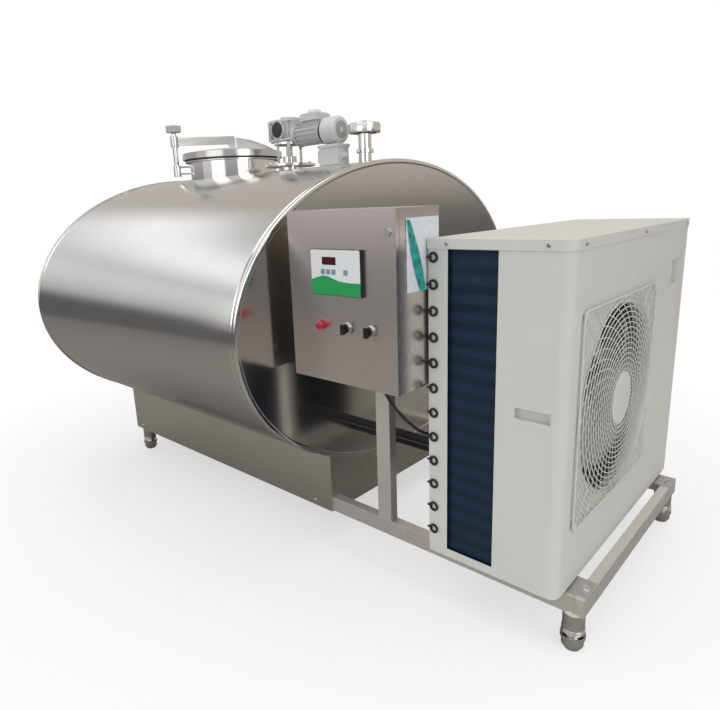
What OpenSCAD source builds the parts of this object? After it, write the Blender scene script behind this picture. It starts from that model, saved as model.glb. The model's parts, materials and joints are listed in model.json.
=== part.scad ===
// Bulk milk tank: an insulated oval vessel on a welded frame, with a swing-aside
// manhole lid, a geared agitator, a control box and an air-cooled condensing unit.
// Origin: middle of the footprint at floor level. +X runs from the outlet end to the
// condensing unit, +Z is up, and the control box stands on the -Y side.

/* [Tank] */
// Length of the oval shell
tank_len = 1488; // [1200:4:2400]
// Width across the oval
tank_w = 1692; // [1400:4:2000]
// Height of the oval
tank_h = 1136; // [1000:4:1400]
// Height of the oval's lowest line above the floor
tank_clear = 249; // [220:1:360]
// Thickness of the outer sheet
sheet = 2; // [1.5:0.5:3]
// Thickness of the foam between the two shells
foam = 58; // [40:2:80]
// Thickness of the inner vessel's wall
wall = 3; // [2:0.5:5]
// Width of the polished rim at each end
rim_w = 28; // [20:1:40]

/* [Manhole] */
// Distance from the outlet end to the middle of the manhole
manhole_in = 460; // [380:5:560]
// Outer radius of the manhole neck
neck_r = 208; // [180:2:230]
// Height of the neck's flange above the top of the tank
neck_h = 70; // [50:2:110]
// Radius of the lid
lid_r = 240; // [235:1:265]
// Height of the lid's straight rim
lid_rim = 28; // [20:1:40]
// Rise of the lid's dome
lid_dome = 22; // [14:1:34]
// Distance from the middle of the lid to the swing post
post_reach = 272; // [268:1:320]
// Compass angle of the swing post round the lid
post_angle = 232; // [200:1:260]
// Radius of the swing post
post_r = 11; // [9:0.5:14]
// Height of the lid arm's flat bar
arm_h = 38; // [30:1:50]
// Travel of the screw that lifts the lid
lift_travel = 24; // [12:1:30]

/* [Agitator] */
// Distance from the outlet end to the agitator shaft
agitator_in = 868; // [820:2:900]
// Radius of the agitator shaft
shaft_r = 14; // [10:1:18]
// Radius swept by the agitator paddles
paddle_r = 270; // [180:5:300]
// Radius of the motor's finned body
motor_r = 46; // [40:1:60]
// Length of the motor's finned body
motor_len = 144; // [144:2:200]

/* [Vent] */
// Distance from the unit end of the tank to the vent
vent_in = 182; // [140:2:260]
// Outer radius of the vent pipe
vent_r = 25.5; // [19:0.5:38]
// Radius of the vent's mushroom cap
vent_cap_r = 63; // [50:1:80]

/* [Outlet] */
// Outer radius of the outlet pipe
outlet_r = 25.5; // [19:0.5:38]
// Wall of the outlet pipe
outlet_wall = 2; // [1.5:0.5:3]
// How far the outlet reaches past the end of the tank
outlet_reach = 130; // [120:2:200]

/* [Frame] */
// Height of the frame's rectangular tube
tube_h = 55; // [40:1:80]
// Width of the frame's rectangular tube
tube_w = 34; // [25:1:50]
// Wall of the frame's tube
tube_t = 3; // [2:0.5:5]
// Width across the outsides of the two long rails
frame_w = 911; // [800:1:1000]
// Height of the frame's underside above the floor
frame_clear = 117; // [100:1:160]
// Radius of the threaded leg sockets
socket_r = 30; // [24:1:36]
// Radius of the feet's stems
stem_r = 20; // [14:1:22]
// Travel of the levelling feet
foot_travel = 25; // [10:1:30]

/* [Condensing unit] */
// Space between the tank and the condensing unit
bay = 467; // [440:1:560]
// Depth of the unit along the tank
unit_d = 398; // [380:1:480]
// Width of the unit across the tank
unit_w = 1042; // [980:2:1200]
// Height of the unit
unit_h = 950; // [900:5:1200]
// Radius of the unit's front corners
unit_r = 30; // [15:1:45]
// Height of the lip round the unit's top cover
cover_lip = 28; // [20:1:40]
// Side of the square fan guard
guard_w = 610; // [560:2:640]
// Radius of the fan's blades
fan_r = 262; // [220:1:268]
// Number of fan blades
blades = 4; // [3:1:6]

/* [Control box] */
// Width of the control box
box_w = 406; // [360:1:440]
// Height of the control box
box_h = 504; // [440:1:600]
// Depth of the control box, with its door
box_d = 199.5; // [170:0.5:260]
// Height of the box's underside above the floor
box_z = 713; // [600:1:800]
// Depth of the box's door
door_d = 16; // [14:1:22]
// Width of the controller on the door
panel_w = 190; // [150:1:220]
// Height of the controller on the door
panel_h = 131; // [110:1:150]

/* [Hidden] */
eps = 0.01;
gap = 0.5;          // clearance between parts that only sit side by side
running = 0.05;     // radial clearance of a shaft in its bearing

// Places along the tank
bar_gap = 22;       // space between the unit and the end bar
bar_w = 30;
box_in = 53;        // space between the tank's end and the control box
bay_len = max(bay, box_in + box_w + 8);
total_len = outlet_reach + tank_len + bay_len + unit_d + bar_gap + bar_w;
x_end = -total_len / 2;
x_far = x_end + outlet_reach;
x_near = x_far + tank_len;
x_unit = x_near + bay_len;
x_front = x_unit + unit_d;
x_bar = x_front + bar_gap;

// The oval's section
a = tank_w / 2;
b = tank_h / 2;
tank_z = tank_clear + b;
tank_top = tank_z + b;
oval_step = 3.75;
skin_in = sheet + gap;
foam_in = sheet + foam;
vessel_in = foam_in + gap;
milk_in = vessel_in + wall;
function oval_y(z, inset = 0) = (a - inset) * sqrt(max(0, 1 - pow((z - tank_z) / (b - inset), 2)));
function oval_z(y, inset = 0) = (b - inset) * sqrt(max(0, 1 - pow(y / (a - inset), 2)));

// Manhole, lid and swing post
x_manhole = x_far + manhole_in;
neck_wall = 3;
flange_z = tank_top + neck_h;
gasket_t = 8;
lid_z = flange_z + gasket_t;
lid_top = lid_z + lid_rim;
lid_t = 2;
x_post = x_manhole + post_reach * cos(post_angle);
y_post = post_reach * sin(post_angle);
arm_z = lid_top + lid_dome + 22;
arm_t = 12;
boss_r = post_r + 8;
boss_h = arm_h + 8;
post_base = tank_z + oval_z(y_post) + 30;
post_top = arm_z + arm_h + 16;
knob_r = 36;
knob_h = 28;

// Agitator and its drive
x_agitator = x_far + agitator_in;
pedestal_r = 112;
pedestal_z = tank_top + 16;
pedestal_t = 10;
gear_z = pedestal_z + 102;
gear_x = 146;
gear_y = 108;
gear_h = 96;
motor_z = gear_z + 22;
motor_x = x_agitator + gear_x / 2;
cowl_r = motor_r + 9;
shield_len = 33;     // end shield between the fins and the fan cowl
motor_all = motor_len + shield_len;
cowl_len = 66;       // how far the cowl reaches past the end shield
terminal_in = 48;
terminal_len = 93;
motor_shaft_r = 7;
paddle_z = tank_clear + vessel_in + wall + 62;

// Vent
x_vent = x_near - vent_in;
vent_h = 128;

// Outlet
outlet_z = tank_clear + milk_in + outlet_r + 6;
valve_w = 34;
x_valve = x_far - 62;
stem_v = 5;
tank_pipe_r = outlet_r + 0.5; // the welded pipe is heavier than the spigot
disc_r = outlet_r - outlet_wall - 0.4;
handle_len = 118;

// Frame
frame_top = frame_clear + tube_h;
rail_y = frame_w / 2 - tube_w / 2;
x_rail = x_far + 50;
foot_x = [x_far + 107, x_bar + bar_w - socket_r - 4];
skirt_out = 10;
skirt_t = 2;
saddle_x = [x_far + 230, x_far + tank_len / 2, x_near - 170];
saddle_t = 8;

// Condensing unit
unit_z = frame_top + 9;
unit_top = unit_z + unit_h;
panel_t = 2;
base_h = 26;
half_w = unit_w / 2;
fan_y = -0.147 * unit_w;
fan_z = unit_z + unit_h / 2;
orifice_r = fan_r + 12;
coil_x = x_unit + 8;
coil_t = 36;
coil_end = x_unit + 210;
coil_y2 = fan_y + 320;
divider_y = coil_y2 + 6;
hub_r = 62;
fan_x = x_front - 78;
fan_depth = 58;
channel_y = 402;
channel_w = 84;

// Control box
x_box = x_near + box_in;
box_back = -frame_w / 2;
box_front = box_back - box_d;
body_front = box_front + door_d;
box_t = 2;
x_boxpost = x_box + 159;
post_w = 56;
hinge_x = x_box + 5;
hinge_y = box_front + 5.5;
pin_r = 2.5;
control_z = box_z + 173;
lamp_x = x_box + 132;
selector_x = [x_box + 226, x_box + 312];
bezel_r = 14.5;
knob_hole = 11;
panel_x = x_box + 104;
panel_z = box_z + 265;
panel_t2 = 12;
lock_x = x_box + box_w - 26;
lock_z = box_z + 442;
lock_r = 9;

// Route of the cable from the control box to the unit, held at both ends
cable_r = 5;
cable_route = [
  [0, 0, 0], [0, 0, -24], [5, 3, -46], [18, 8, -70], [38, 15, -98], [64, 24, -126],
  [92, 34, -150], [116, 48, -166], [134, 70, -176], [145, 100, -182], [150, 140, -186],
  [151, 190, -189], [151, 300, -194], [151, 420, -196], [151, 560, -196], [151, 700, -194],
  [151.5, 712, -194], [153.5, 722, -194], [157, 729, -194], [162, 734, -194], [167, 735, -194],
  [171.8, 735, -194]
];
x_cable = x_unit - 172;
y_cable = box_back - 60;

module oval(inset = 0) {
  polygon([for (t = [0 : oval_step : 360 - oval_step]) [(a - inset) * cos(t), (b - inset) * sin(t)]]);
}

// Carries a flat outline in the Y-Z plane along X, from x over a length
module along_x(x, length) {
  translate([x, 0, tank_z]) rotate([90, 0, 90]) linear_extrude(length) children();
}

module oval_prism(x, length, inset = 0) { along_x(x, length) oval(inset); }

module pipe(r, bore, h) {
  difference() {
    cylinder(r = r, h = h, $fn = 64);
    translate([0, 0, -eps]) cylinder(r = bore, h = h + 2 * eps, $fn = 64);
  }
}

// The holes through the top of the tank, each with its own clearance
module top_openings(extra) {
  for (hole = [[x_manhole, neck_r], [x_agitator, 52], [x_vent, vent_r]])
    translate([hole[0], 0, tank_z]) cylinder(r = hole[1] + extra, h = 2 * b, $fn = 72);
}

module outlet_opening(extra) {
  translate([x_far - 1, 0, outlet_z]) rotate([0, 90, 0])
    cylinder(r = tank_pipe_r + extra, h = foam_in + 40, $fn = 48);
}

module outer_shell() {
  color("silver") difference() {
    along_x(x_far + 1, tank_len - 2) difference() { oval(); oval(sheet); }
    top_openings(gap);
  }
}

module end_plates() {
  color("silver") {
    difference() {
      oval_prism(x_far + 1, sheet, skin_in);
      outlet_opening(gap);
    }
    oval_prism(x_near - 1 - sheet, sheet, skin_in);
  }
}

module end_rims() {
  color("gainsboro") for (x = [x_far, x_near - rim_w])
    along_x(x, rim_w) difference() { oval(-sheet - gap); oval(-gap); }
  color("gainsboro") for (x = [x_far, x_near - 1 + gap])
    along_x(x, 1 - gap) difference() { oval(-gap - eps); oval(18); }
}

module insulation() {
  color("wheat") difference() {
    oval_prism(x_far + 1 + skin_in, tank_len - 2 - 2 * skin_in, skin_in);
    oval_prism(x_far + foam_in, tank_len - 2 * foam_in, foam_in);
    top_openings(gap);
    outlet_opening(gap);
    evaporator_space(gap);
  }
}

module inner_vessel() {
  color("whitesmoke") difference() {
    oval_prism(x_far + vessel_in, tank_len - 2 * vessel_in, vessel_in);
    oval_prism(x_far + milk_in, tank_len - 2 * milk_in, milk_in);
    top_openings(gap);
    outlet_opening(gap);
  }
}

// The band under the vessel where the refrigerant runs
module evaporator_space(extra) {
  x = x_far + 220;
  length = tank_len - 440;
  along_x(x - extra, length + 2 * extra) intersection() {
    difference() { oval(foam_in - 7 - extra); oval(vessel_in - gap + eps); }
    translate([-480 - extra, -b]) square([960 + 2 * extra, b - 400]);
  }
}

module evaporator_plate() {
  color("lightsteelblue") evaporator_space(0);
}

module manhole_neck() {
  color("silver") {
    translate([x_manhole, 0, 0]) difference() {
      union() {
        translate([0, 0, tank_z]) cylinder(r = neck_r, h = flange_z - tank_z, $fn = 96);
        translate([0, 0, flange_z - 4]) cylinder(r = neck_r + 22, h = 4, $fn = 96);
      }
      translate([0, 0, tank_z - 1]) cylinder(r = neck_r - neck_wall, h = 2 * b, $fn = 96);
      translate([-x_manhole, 0, 0]) oval_prism(x_far, tank_len, milk_in + 12);
    }
    post_socket();
  }
}

// The socket that carries the swing post, on a bracket welded to the neck
module post_socket() {
  socket_top = flange_z - 12;
  socket_len = 52;
  translate([x_manhole, 0, 0]) rotate([0, 0, post_angle]) difference() {
    union() {
      translate([post_reach, 0, socket_top - socket_len])
        cylinder(r = post_r + 6, h = socket_len, $fn = 48);
      for (z = [socket_top - 10, socket_top - 42])
        translate([neck_r - 1, -14, z]) cube([post_reach - neck_r, 28, 6]);
    }
    translate([post_reach, 0, socket_top - socket_len - 1])
      cylinder(r = post_r + running, h = socket_len + 2, $fn = 48);
    translate([0, 0, tank_z]) cylinder(r = neck_r - 1, h = 2 * b, $fn = 96);
  }
}

module lid_gasket() {
  color("dimgray") translate([x_manhole, 0, flange_z]) pipe(neck_r + 20, neck_r - 6, gasket_t);
}

module manhole_lid() {
  cap_r = (lid_r * lid_r + lid_dome * lid_dome) / (2 * lid_dome);
  color("silver") translate([x_manhole, 0, lid_z]) {
    rotate_extrude($fn = 96) union() {
      square([lid_r - 1, lid_t]);
      translate([lid_r - lid_t, 0]) square([lid_t, lid_rim]);
      intersection() {
        translate([0, lid_rim + lid_dome - cap_r]) difference() {
          circle(r = cap_r, $fn = 360);
          circle(r = cap_r - lid_t, $fn = 360);
        }
        translate([0, lid_rim - lid_t]) square([lid_r, lid_dome + lid_t]);
      }
    }
    rotate([0, 0, post_angle]) lid_fittings();
  }
}

// The clevis that the arm bolts to, and the stiffening rib beyond it
module lid_fittings() {
  top = lid_rim + lid_dome;
  translate([-18, arm_t / 2, top - 1]) cube([36, 4, arm_h + 14]);
  translate([-18, -arm_t / 2 - 4, top - 1]) cube([36, 4, arm_h + 14]);
  translate([-18, -arm_t / 2 - 4, top - 1]) cube([36, arm_t + 8, 5]);
  translate([0, -arm_t / 2 - 4 + eps, arm_z + arm_h / 2 - lid_z]) rotate([90, 0, 0]) bolt_head(8, 6);
  translate([0, 7, 0]) rotate([90, 0, 0]) linear_extrude(14)
    polygon([[-22, top - 2], [-22, top + 52], [-90, top + 40], [-160, top + 14],
      [-lid_r + 6, lid_rim - 1], [-lid_r + 6, lid_rim - 4]]);
}

module lid_arm() {
  color("silver") translate([x_post, y_post, arm_z]) rotate([0, 0, post_angle + 180]) {
    difference() {
      union() {
        translate([0, 0, -4]) cylinder(r = boss_r, h = boss_h, $fn = 48);
        translate([post_r + 4, -arm_t / 2 + gap, 0])
          cube([post_reach - post_r + 10, arm_t - 2 * gap, arm_h]);
      }
      translate([0, 0, -5]) cylinder(r = post_r + running, h = boss_h + 2, $fn = 48);
    }
  }
}

module lid_post() {
  color("gainsboro") translate([x_post, y_post, 0]) {
    translate([0, 0, post_base]) cylinder(r = post_r, h = post_top - post_base, $fn = 48);
    translate([0, 0, arm_z - 4 - 6 - 0.3]) pipe(post_r + 5, post_r - eps, 6);
  }
}

module hand_knob() {
  color("dimgray") translate([x_post, y_post, post_top + 0.3]) {
    cylinder(r = 12, h = 8, $fn = 40);
    translate([0, 0, 7]) difference() {
      cylinder(r = knob_r, h = knob_h, $fn = 64);
      for (t = [0 : 60 : 300])
        rotate([0, 0, t]) translate([knob_r + 6, 0, -1]) cylinder(r = 12, h = knob_h + 2, $fn = 32);
    }
  }
}

module agitator_pedestal() {
  nozzle_r = 52;
  color("silver") translate([x_agitator, 0, 0]) difference() {
    union() {
      translate([0, 0, tank_z]) cylinder(r = nozzle_r, h = pedestal_z - tank_z + 1, $fn = 64);
      translate([0, 0, pedestal_z]) cylinder(r = pedestal_r, h = pedestal_t, $fn = 72);
      translate([0, 0, gear_z - pedestal_t]) cylinder(r = 66, h = pedestal_t, $fn = 64);
      translate([0, 0, pedestal_z + pedestal_t - 1]) cylinder(r = 30, h = 34, $fn = 48);
      for (t = [45 : 90 : 315])
        rotate([0, 0, t]) translate([44, -7, pedestal_z + pedestal_t - 1])
          cube([12, 14, gear_z - pedestal_z - 2 * pedestal_t + 2]);
    }
    translate([0, 0, tank_z - 1]) cylinder(r = nozzle_r - 3, h = pedestal_z - tank_z - 2, $fn = 64);
    translate([-x_agitator, 0, 0]) oval_prism(x_far, tank_len, milk_in + 6);
    translate([0, 0, tank_z]) cylinder(r = shaft_r + running, h = 2 * b, $fn = 48);
  }
}

module gearbox() {
  color("lightgray") translate([x_agitator, 0, gear_z]) {
    difference() {
      union() {
        translate([-gear_x / 2, -gear_y / 2 + 12, 0]) cube([gear_x, gear_y - 24, gear_h]);
        translate([-12, 0, gear_h / 2 + 4]) rotate([90, 0, 0])
          translate([0, 0, -gear_y / 2]) cylinder(r = 42, h = gear_y, $fn = 64);
        translate([-12, -gear_y / 2 - 5, gear_h / 2 + 4]) rotate([-90, 0, 0])
          cylinder(r = 31.5, h = 6, $fn = 56);
        for (z = [6, gear_h - 14])
          translate([-gear_x / 2, -gear_y / 2, z]) cube([gear_x, gear_y, 8]);
        translate([0, 0, gear_h]) cylinder(r = 32, h = 8, $fn = 48);
        translate([gear_x / 2 - 8, 0, motor_z - gear_z]) rotate([0, 90, 0])
          cylinder(r = motor_r + 6, h = 8, $fn = 64);
      }
      translate([0, 0, -1]) cylinder(r = shaft_r + running, h = 72, $fn = 48);
      translate([-gear_x, -gear_y, -60]) cube([2 * gear_x, 2 * gear_y, 60]);
    }
  }
}

module motor_body() {
  bore = motor_shaft_r + 0.4;
  color("silver") translate([motor_x, 0, motor_z]) rotate([0, 90, 0]) difference() {
    union() {
      cylinder(r = motor_r - 6, h = motor_all, $fn = 64);
      cylinder(r = motor_r + 2, h = 8, $fn = 64);
      translate([0, 0, motor_len]) cylinder(r = motor_r + 2, h = shield_len, $fn = 64);
      for (t = [12 : 24 : 348])
        rotate([0, 0, t]) translate([0, -1.5, 4]) cube([motor_r, 3, motor_len - 3]);
      // Pad that the terminal box stands on
      translate([-motor_r - 2, -34, terminal_in + 4]) cube([motor_r - 18, 68, terminal_len - 8]);
    }
    translate([0, 0, 20]) cylinder(r = bore, h = motor_all, $fn = 32);
  }
}

module fan_cowl() {
  lap = 8;  // length of the collar that grips the motor's end shield
  length = cowl_len + lap;
  color("lightgray") translate([motor_x + motor_all - lap, 0, motor_z]) rotate([0, 90, 0])
    rotate_extrude($fn = 72) difference() {
      union() {
        square([cowl_r - 16, length]);
        square([cowl_r, length - 16]);
        translate([cowl_r - 16, length - 16]) circle(r = 16, $fn = 48);
      }
      translate([0, -1]) square([motor_r + 2.3, lap + 2]);
      translate([0, lap]) square([cowl_r - 3, length - lap - 19]);
      translate([0, length - 30]) square([cowl_r - 20, 27]);
    }
}

module motor_fan() {
  fan_at = motor_all + cowl_len - 46;
  color("darkslategray") translate([motor_x, 0, motor_z]) rotate([0, 90, 0]) {
    translate([0, 0, 22]) cylinder(r = motor_shaft_r, h = fan_at + 4, $fn = 32);
    translate([0, 0, fan_at]) {
      cylinder(r = 16, h = 22, $fn = 40);
      for (t = [0 : 60 : 300])
        rotate([0, 0, t + 7]) translate([10, -1.5, 1]) cube([cowl_r - 16, 3, 20]);
    }
  }
}

module terminal_box() {
  length = terminal_len;
  color("lightgray") translate([motor_x + terminal_in, 0, motor_z + motor_r + 2.3]) {
    translate([0, -44, 0]) cube([length, 88, 26]);
    translate([5, -39, 25]) cube([length - 10, 78, 6]);
    translate([length / 2, 0, 30]) cylinder(r1 = 34, r2 = 24, h = 14, $fn = 48);
  }
}

module agitator() {
  color("gainsboro") translate([x_agitator, 0, 0]) {
    translate([0, 0, paddle_z]) cylinder(r = shaft_r, h = gear_z + 66 - paddle_z, $fn = 48);
    translate([0, 0, paddle_z - 16]) cylinder(r = 26, h = 60, $fn = 48);
    for (t = [0, 180])
      rotate([0, 0, t]) translate([20, 0, paddle_z + 14]) rotate([35, 0, 0])
        translate([0, -3, -30]) cube([paddle_r - 20, 6, 60]);
  }
}

module junction_box() {
  y0 = -64;
  z0 = tank_top + 0.3;
  x0 = x_agitator + 244;
  height = motor_z - cowl_r - z0 - 4;
  color("lightgray") translate([x0, y0, z0]) {
    cube([104, 68, height - 11]);
    translate([-4, -4, height - 12]) cube([112, 76, 12]);
    translate([-26, 20, 12]) cube([27, 40, height - 30]);
  }
  color("dimgray") translate([x0 + 103, y0 + 34, z0 + 34]) rotate([0, 90, 0]) {
    cylinder(r = 12, h = 14, $fn = 40);
    cylinder(r = 8, h = 24, $fn = 40);
  }
}

module vent_pipe() {
  color("silver") translate([x_vent, 0, 0]) {
    difference() {
      union() {
        translate([0, 0, tank_z]) cylinder(r = vent_r, h = b + vent_h, $fn = 64);
        translate([0, 0, tank_top + 38]) cylinder(r = vent_r + 8, h = 14, $fn = 64);
        translate([-8, -vent_r - 18, tank_top + 39]) cube([16, 14, 12]);
      }
      translate([0, 0, tank_z - 1]) cylinder(r = vent_r - 2, h = 2 * b, $fn = 64);
      translate([-x_vent, 0, 0]) oval_prism(x_far, tank_len, milk_in + 6);
    }
  }
}

module vent_cap() {
  rise = 44;
  color("silver") translate([x_vent, 0, tank_top + vent_h - 16]) {
    rotate_extrude($fn = 72) difference() {
      union() {
        square([vent_cap_r - 4, rise - 8]);
        translate([0, 4]) square([vent_cap_r, rise - 16]);
        polygon([[0, 0], [vent_cap_r, rise - 12], [20, rise], [0, rise]]);
        translate([vent_cap_r - 4, 4]) circle(r = 4, $fn = 32);
      }
      translate([0, -1]) square([vent_cap_r - 3, rise - 14]);
    }
    // Three lugs hold the cap on the pipe and leave the air a way past
    for (t = [90 : 120 : 330])
      rotate([0, 0, t]) translate([vent_r + 0.2, -4, 4]) cube([vent_cap_r - vent_r - 2, 8, 14]);
    translate([0, 0, 16]) pipe(vent_r - 6, vent_r - 10, rise - 28);
  }
}

module outlet_pipe() {
  color("silver") difference() {
    union() {
      translate([x_valve + valve_w / 2, 0, outlet_z]) rotate([0, 90, 0])
        cylinder(r = tank_pipe_r, h = x_far + vessel_in + wall - x_valve - valve_w / 2, $fn = 64);
      translate([x_valve + valve_w / 2, 0, outlet_z]) rotate([0, 90, 0])
        cylinder(r = outlet_r + 12, h = 6, $fn = 64);
    }
    translate([x_end - 1, 0, outlet_z]) rotate([0, 90, 0])
      cylinder(r = outlet_r - outlet_wall, h = 400, $fn = 64);
  }
}

module valve_body() {
  color("silver") difference() {
    union() {
      translate([x_valve - valve_w / 2, 0, outlet_z]) rotate([0, 90, 0])
        cylinder(r = outlet_r + 18, h = valve_w, $fn = 64);
      translate([x_end, 0, outlet_z]) rotate([0, 90, 0])
        cylinder(r = outlet_r, h = x_valve - x_end, $fn = 64);
      translate([x_valve, 0, outlet_z]) cylinder(r = 11, h = outlet_r + 30, $fn = 40);
    }
    translate([x_end - 1, 0, outlet_z]) rotate([0, 90, 0])
      cylinder(r = outlet_r - outlet_wall, h = 400, $fn = 64);
    translate([x_valve, 0, outlet_z - outlet_r - 8])
      cylinder(r = stem_v + running, h = 2 * outlet_r + 60, $fn = 32);
  }
}

module valve_disc() {
  color("gainsboro") translate([x_valve, 0, outlet_z]) {
    rotate([0, 90, 0]) translate([0, 0, -1.5]) cylinder(r = disc_r, h = 3, $fn = 64);
    translate([0, 0, -outlet_r - 6]) cylinder(r = stem_v, h = 2 * outlet_r + 50, $fn = 32);
  }
}

module valve_handle() {
  color("dimgray") translate([x_valve, 0, outlet_z + outlet_r + 30.3]) difference() {
    union() {
      cylinder(r = 14, h = 12, $fn = 40);
      translate([-8, 0, 2]) cube([16, handle_len, 8]);
      translate([0, handle_len, 2]) cylinder(r = 8, h = 8, $fn = 32);
    }
    translate([0, 0, -1]) cylinder(r = stem_v, h = 16, $fn = 32);
  }
}

// A length of rectangular tube along X, open at both ends
module tube_x(x, y, z, length, width, height) {
  translate([x, y - width / 2, z]) difference() {
    cube([length, width, height]);
    translate([-1, tube_t, tube_t]) cube([length + 2, width - 2 * tube_t, height - 2 * tube_t]);
  }
}

module tube_y(x, z, length, width, height) {
  translate([x, 0, 0]) rotate([0, 0, 90]) tube_x(-length / 2, -width / 2, z, length, width, height);
}

module base_rails() {
  color("darkgray") for (s = [-1, 1])
    tube_x(x_rail, s * rail_y, frame_clear, x_bar - x_rail, tube_w, tube_h);
}

module cross_members() {
  inner = frame_w - 2 * tube_w;
  color("darkgray") {
    for (x = saddle_x) tube_y(x - tube_w / 2, frame_clear, inner, tube_w, tube_h);
    tube_y(x_unit + 14, frame_clear, inner, tube_w, tube_h);
    tube_y(x_bar, frame_clear, frame_w, bar_w, tube_h);
  }
}

module tank_saddles() {
  width = frame_w - 2 * tube_w;
  color("darkgray") for (x = saddle_x)
    difference() {
      translate([x - saddle_t / 2, -width / 2, frame_top]) cube([saddle_t, width, 150]);
      oval_prism(x - saddle_t, 2 * saddle_t, -gap / 2);
    }
}

// The space that the shell and its rims fill, with a little clearance
module tank_space() {
  seat = 0.3;
  oval_prism(x_far - 10, tank_len + 20, -seat);
  for (x = [x_far - 1, x_near - rim_w - 1]) oval_prism(x, rim_w + 2, -sheet - gap - seat);
}

// Side skirt: a flat panel with its foot and end edges folded back to the rail
module side_skirt() {
  y = frame_w / 2;
  length = tank_len - 52;
  difference() {
    union() {
      translate([x_rail, y + skirt_out - skirt_t, frame_clear]) cube([length, skirt_t, 300]);
      translate([x_rail, y + 0.3, frame_clear]) cube([length, skirt_out - 1, skirt_t]);
      translate([x_rail + length - skirt_t, y + 0.3, frame_clear]) cube([skirt_t, skirt_out - 1, 300]);
    }
    tank_space();
  }
}

module end_skirt(x) {
  difference() {
    translate([x, -frame_w / 2 + 1, frame_clear - 5]) cube([skirt_t, frame_w - 2, 300]);
    tank_space();
    for (s = [-1, 1])
      translate([x - 1, s * rail_y - tube_w / 2 - gap, frame_clear - 10])
        cube([skirt_t + 2, tube_w + 2 * gap, tube_h + 10 + gap]);
  }
}

module skirts() {
  color("silver") {
    side_skirt();
    mirror([0, 1, 0]) side_skirt();
    end_skirt(x_rail - 6 - skirt_t);
    end_skirt(x_near - 6);
  }
}

module each_foot() {
  for (x = foot_x, s = [-1, 1]) translate([x, s * (rail_y - 6), 0]) children();
}

module leg_sockets() {
  color("silver") each_foot() translate([0, 0, 52])
    pipe(socket_r, stem_r + running, frame_clear - 52);
}

module foot() {
  color("gainsboro") {
    translate([0, 0, 40]) cylinder(r = stem_r, h = frame_clear - 42, $fn = 48);
    translate([0, 0, 34]) cylinder(r = socket_r + 4, h = 12, $fn = 48);
    rotate_extrude($fn = 48) union() {
      translate([0, 12]) square([socket_r, 23]);
      polygon([[0, 0], [socket_r - 8, 0], [socket_r, 13], [0, 13]]);
    }
  }
}

module left_outlet_foot() { translate([foot_x[0], -rail_y + 6, 0]) foot(); }
module right_outlet_foot() { translate([foot_x[0], rail_y - 6, 0]) foot(); }
module left_unit_foot() { translate([foot_x[1], -rail_y + 6, 0]) foot(); }
module right_unit_foot() { translate([foot_x[1], rail_y - 6, 0]) foot(); }

module box_post() {
  top = box_z + box_h - 60;
  color("silver") difference() {
    translate([x_boxpost, -frame_w / 2, frame_top]) cube([post_w, tube_w, top - frame_top]);
    translate([x_boxpost + tube_t, -frame_w / 2 + tube_t, frame_top - 1])
      cube([post_w - 2 * tube_t, tube_w - 2 * tube_t, top - frame_top + 2]);
  }
}

module control_box() {
  depth = box_back - body_front;
  flange = 12;
  color("silver") difference() {
    translate([x_box, body_front, box_z]) cube([box_w, depth, box_h]);
    translate([x_box + box_t, body_front + box_t, box_z + box_t])
      cube([box_w - 2 * box_t, depth - 2 * box_t, box_h - 2 * box_t]);
    translate([x_box + flange, body_front - 1, box_z + flange])
      cube([box_w - 2 * flange, box_t + 2, box_h - 2 * flange]);
    translate([x_cable, y_cable, box_z - 1]) cylinder(r = 9, h = 10, $fn = 40);
  }
}

module box_door() {
  seam = 1.5;
  color("silver") difference() {
    translate([x_box, box_front, box_z]) cube([box_w, door_d - seam, box_h]);
    translate([x_box + box_t, box_front + box_t, box_z + box_t])
      cube([box_w - 2 * box_t, door_d, box_h - 2 * box_t]);
    for (z = hinge_heights())
      translate([x_box - 1, box_front + 3, z - 24]) cube([12, door_d, 48]);
    for (x = concat([lamp_x], selector_x))
      translate([x, box_front - 1, control_z]) rotate([-90, 0, 0])
        cylinder(r = knob_hole, h = 4, $fn = 40);
    translate([panel_x + 8, box_front - 1, panel_z + 8]) cube([panel_w - 16, 4, panel_h - 16]);
    translate([lock_x, box_front - 1, lock_z]) rotate([-90, 0, 0])
      cylinder(r = lock_r + running, h = 4, $fn = 40);
  }
  color("silver") for (z = hinge_heights())
    difference() {
      translate([hinge_x - 4, box_front + box_t - eps, z + 6.3]) cube([14, hinge_y - box_front + 2, 14]);
      translate([hinge_x, hinge_y, z]) cylinder(r = pin_r + running, h = 40, $fn = 32);
    }
}

function hinge_heights() = [box_z + 70, box_z + box_h - 70];

module door_hinges() {
  color("dimgray") for (z = hinge_heights()) {
    translate([hinge_x, hinge_y, z - 18]) cylinder(r = pin_r, h = 38, $fn = 32);
    translate([hinge_x, hinge_y, z - 12]) cylinder(r = pin_r + 0.8, h = 18, $fn = 36);
    translate([hinge_x + 0.3, hinge_y, z - 12]) cube([2.5, body_front - hinge_y, 18]);
  }
}

module mounting_plate() {
  y = box_back - box_t;
  color("gainsboro") translate([x_box + 24, y - 22, box_z + 24]) cube([box_w - 48, 2, box_h - 48]);
  color("gainsboro") for (x = [x_box + 40, x_box + box_w - 40], z = [box_z + 40, box_z + box_h - 40])
    translate([x, y, z]) rotate([90, 0, 0]) cylinder(r = 5, h = 20 + eps, $fn = 24);
  color("dimgray") for (i = [0 : 2]) {
    translate([x_box + 60 + 92 * i, y - 96, box_z + 250]) cube([62, 75, 84]);
    translate([x_box + 70 + 92 * i, y - 104, box_z + 264]) cube([42, 9, 56]);
  }
  color("white") translate([x_box + 60, y - 72, box_z + 96]) cube([246, 51, 34]);
}

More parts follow.
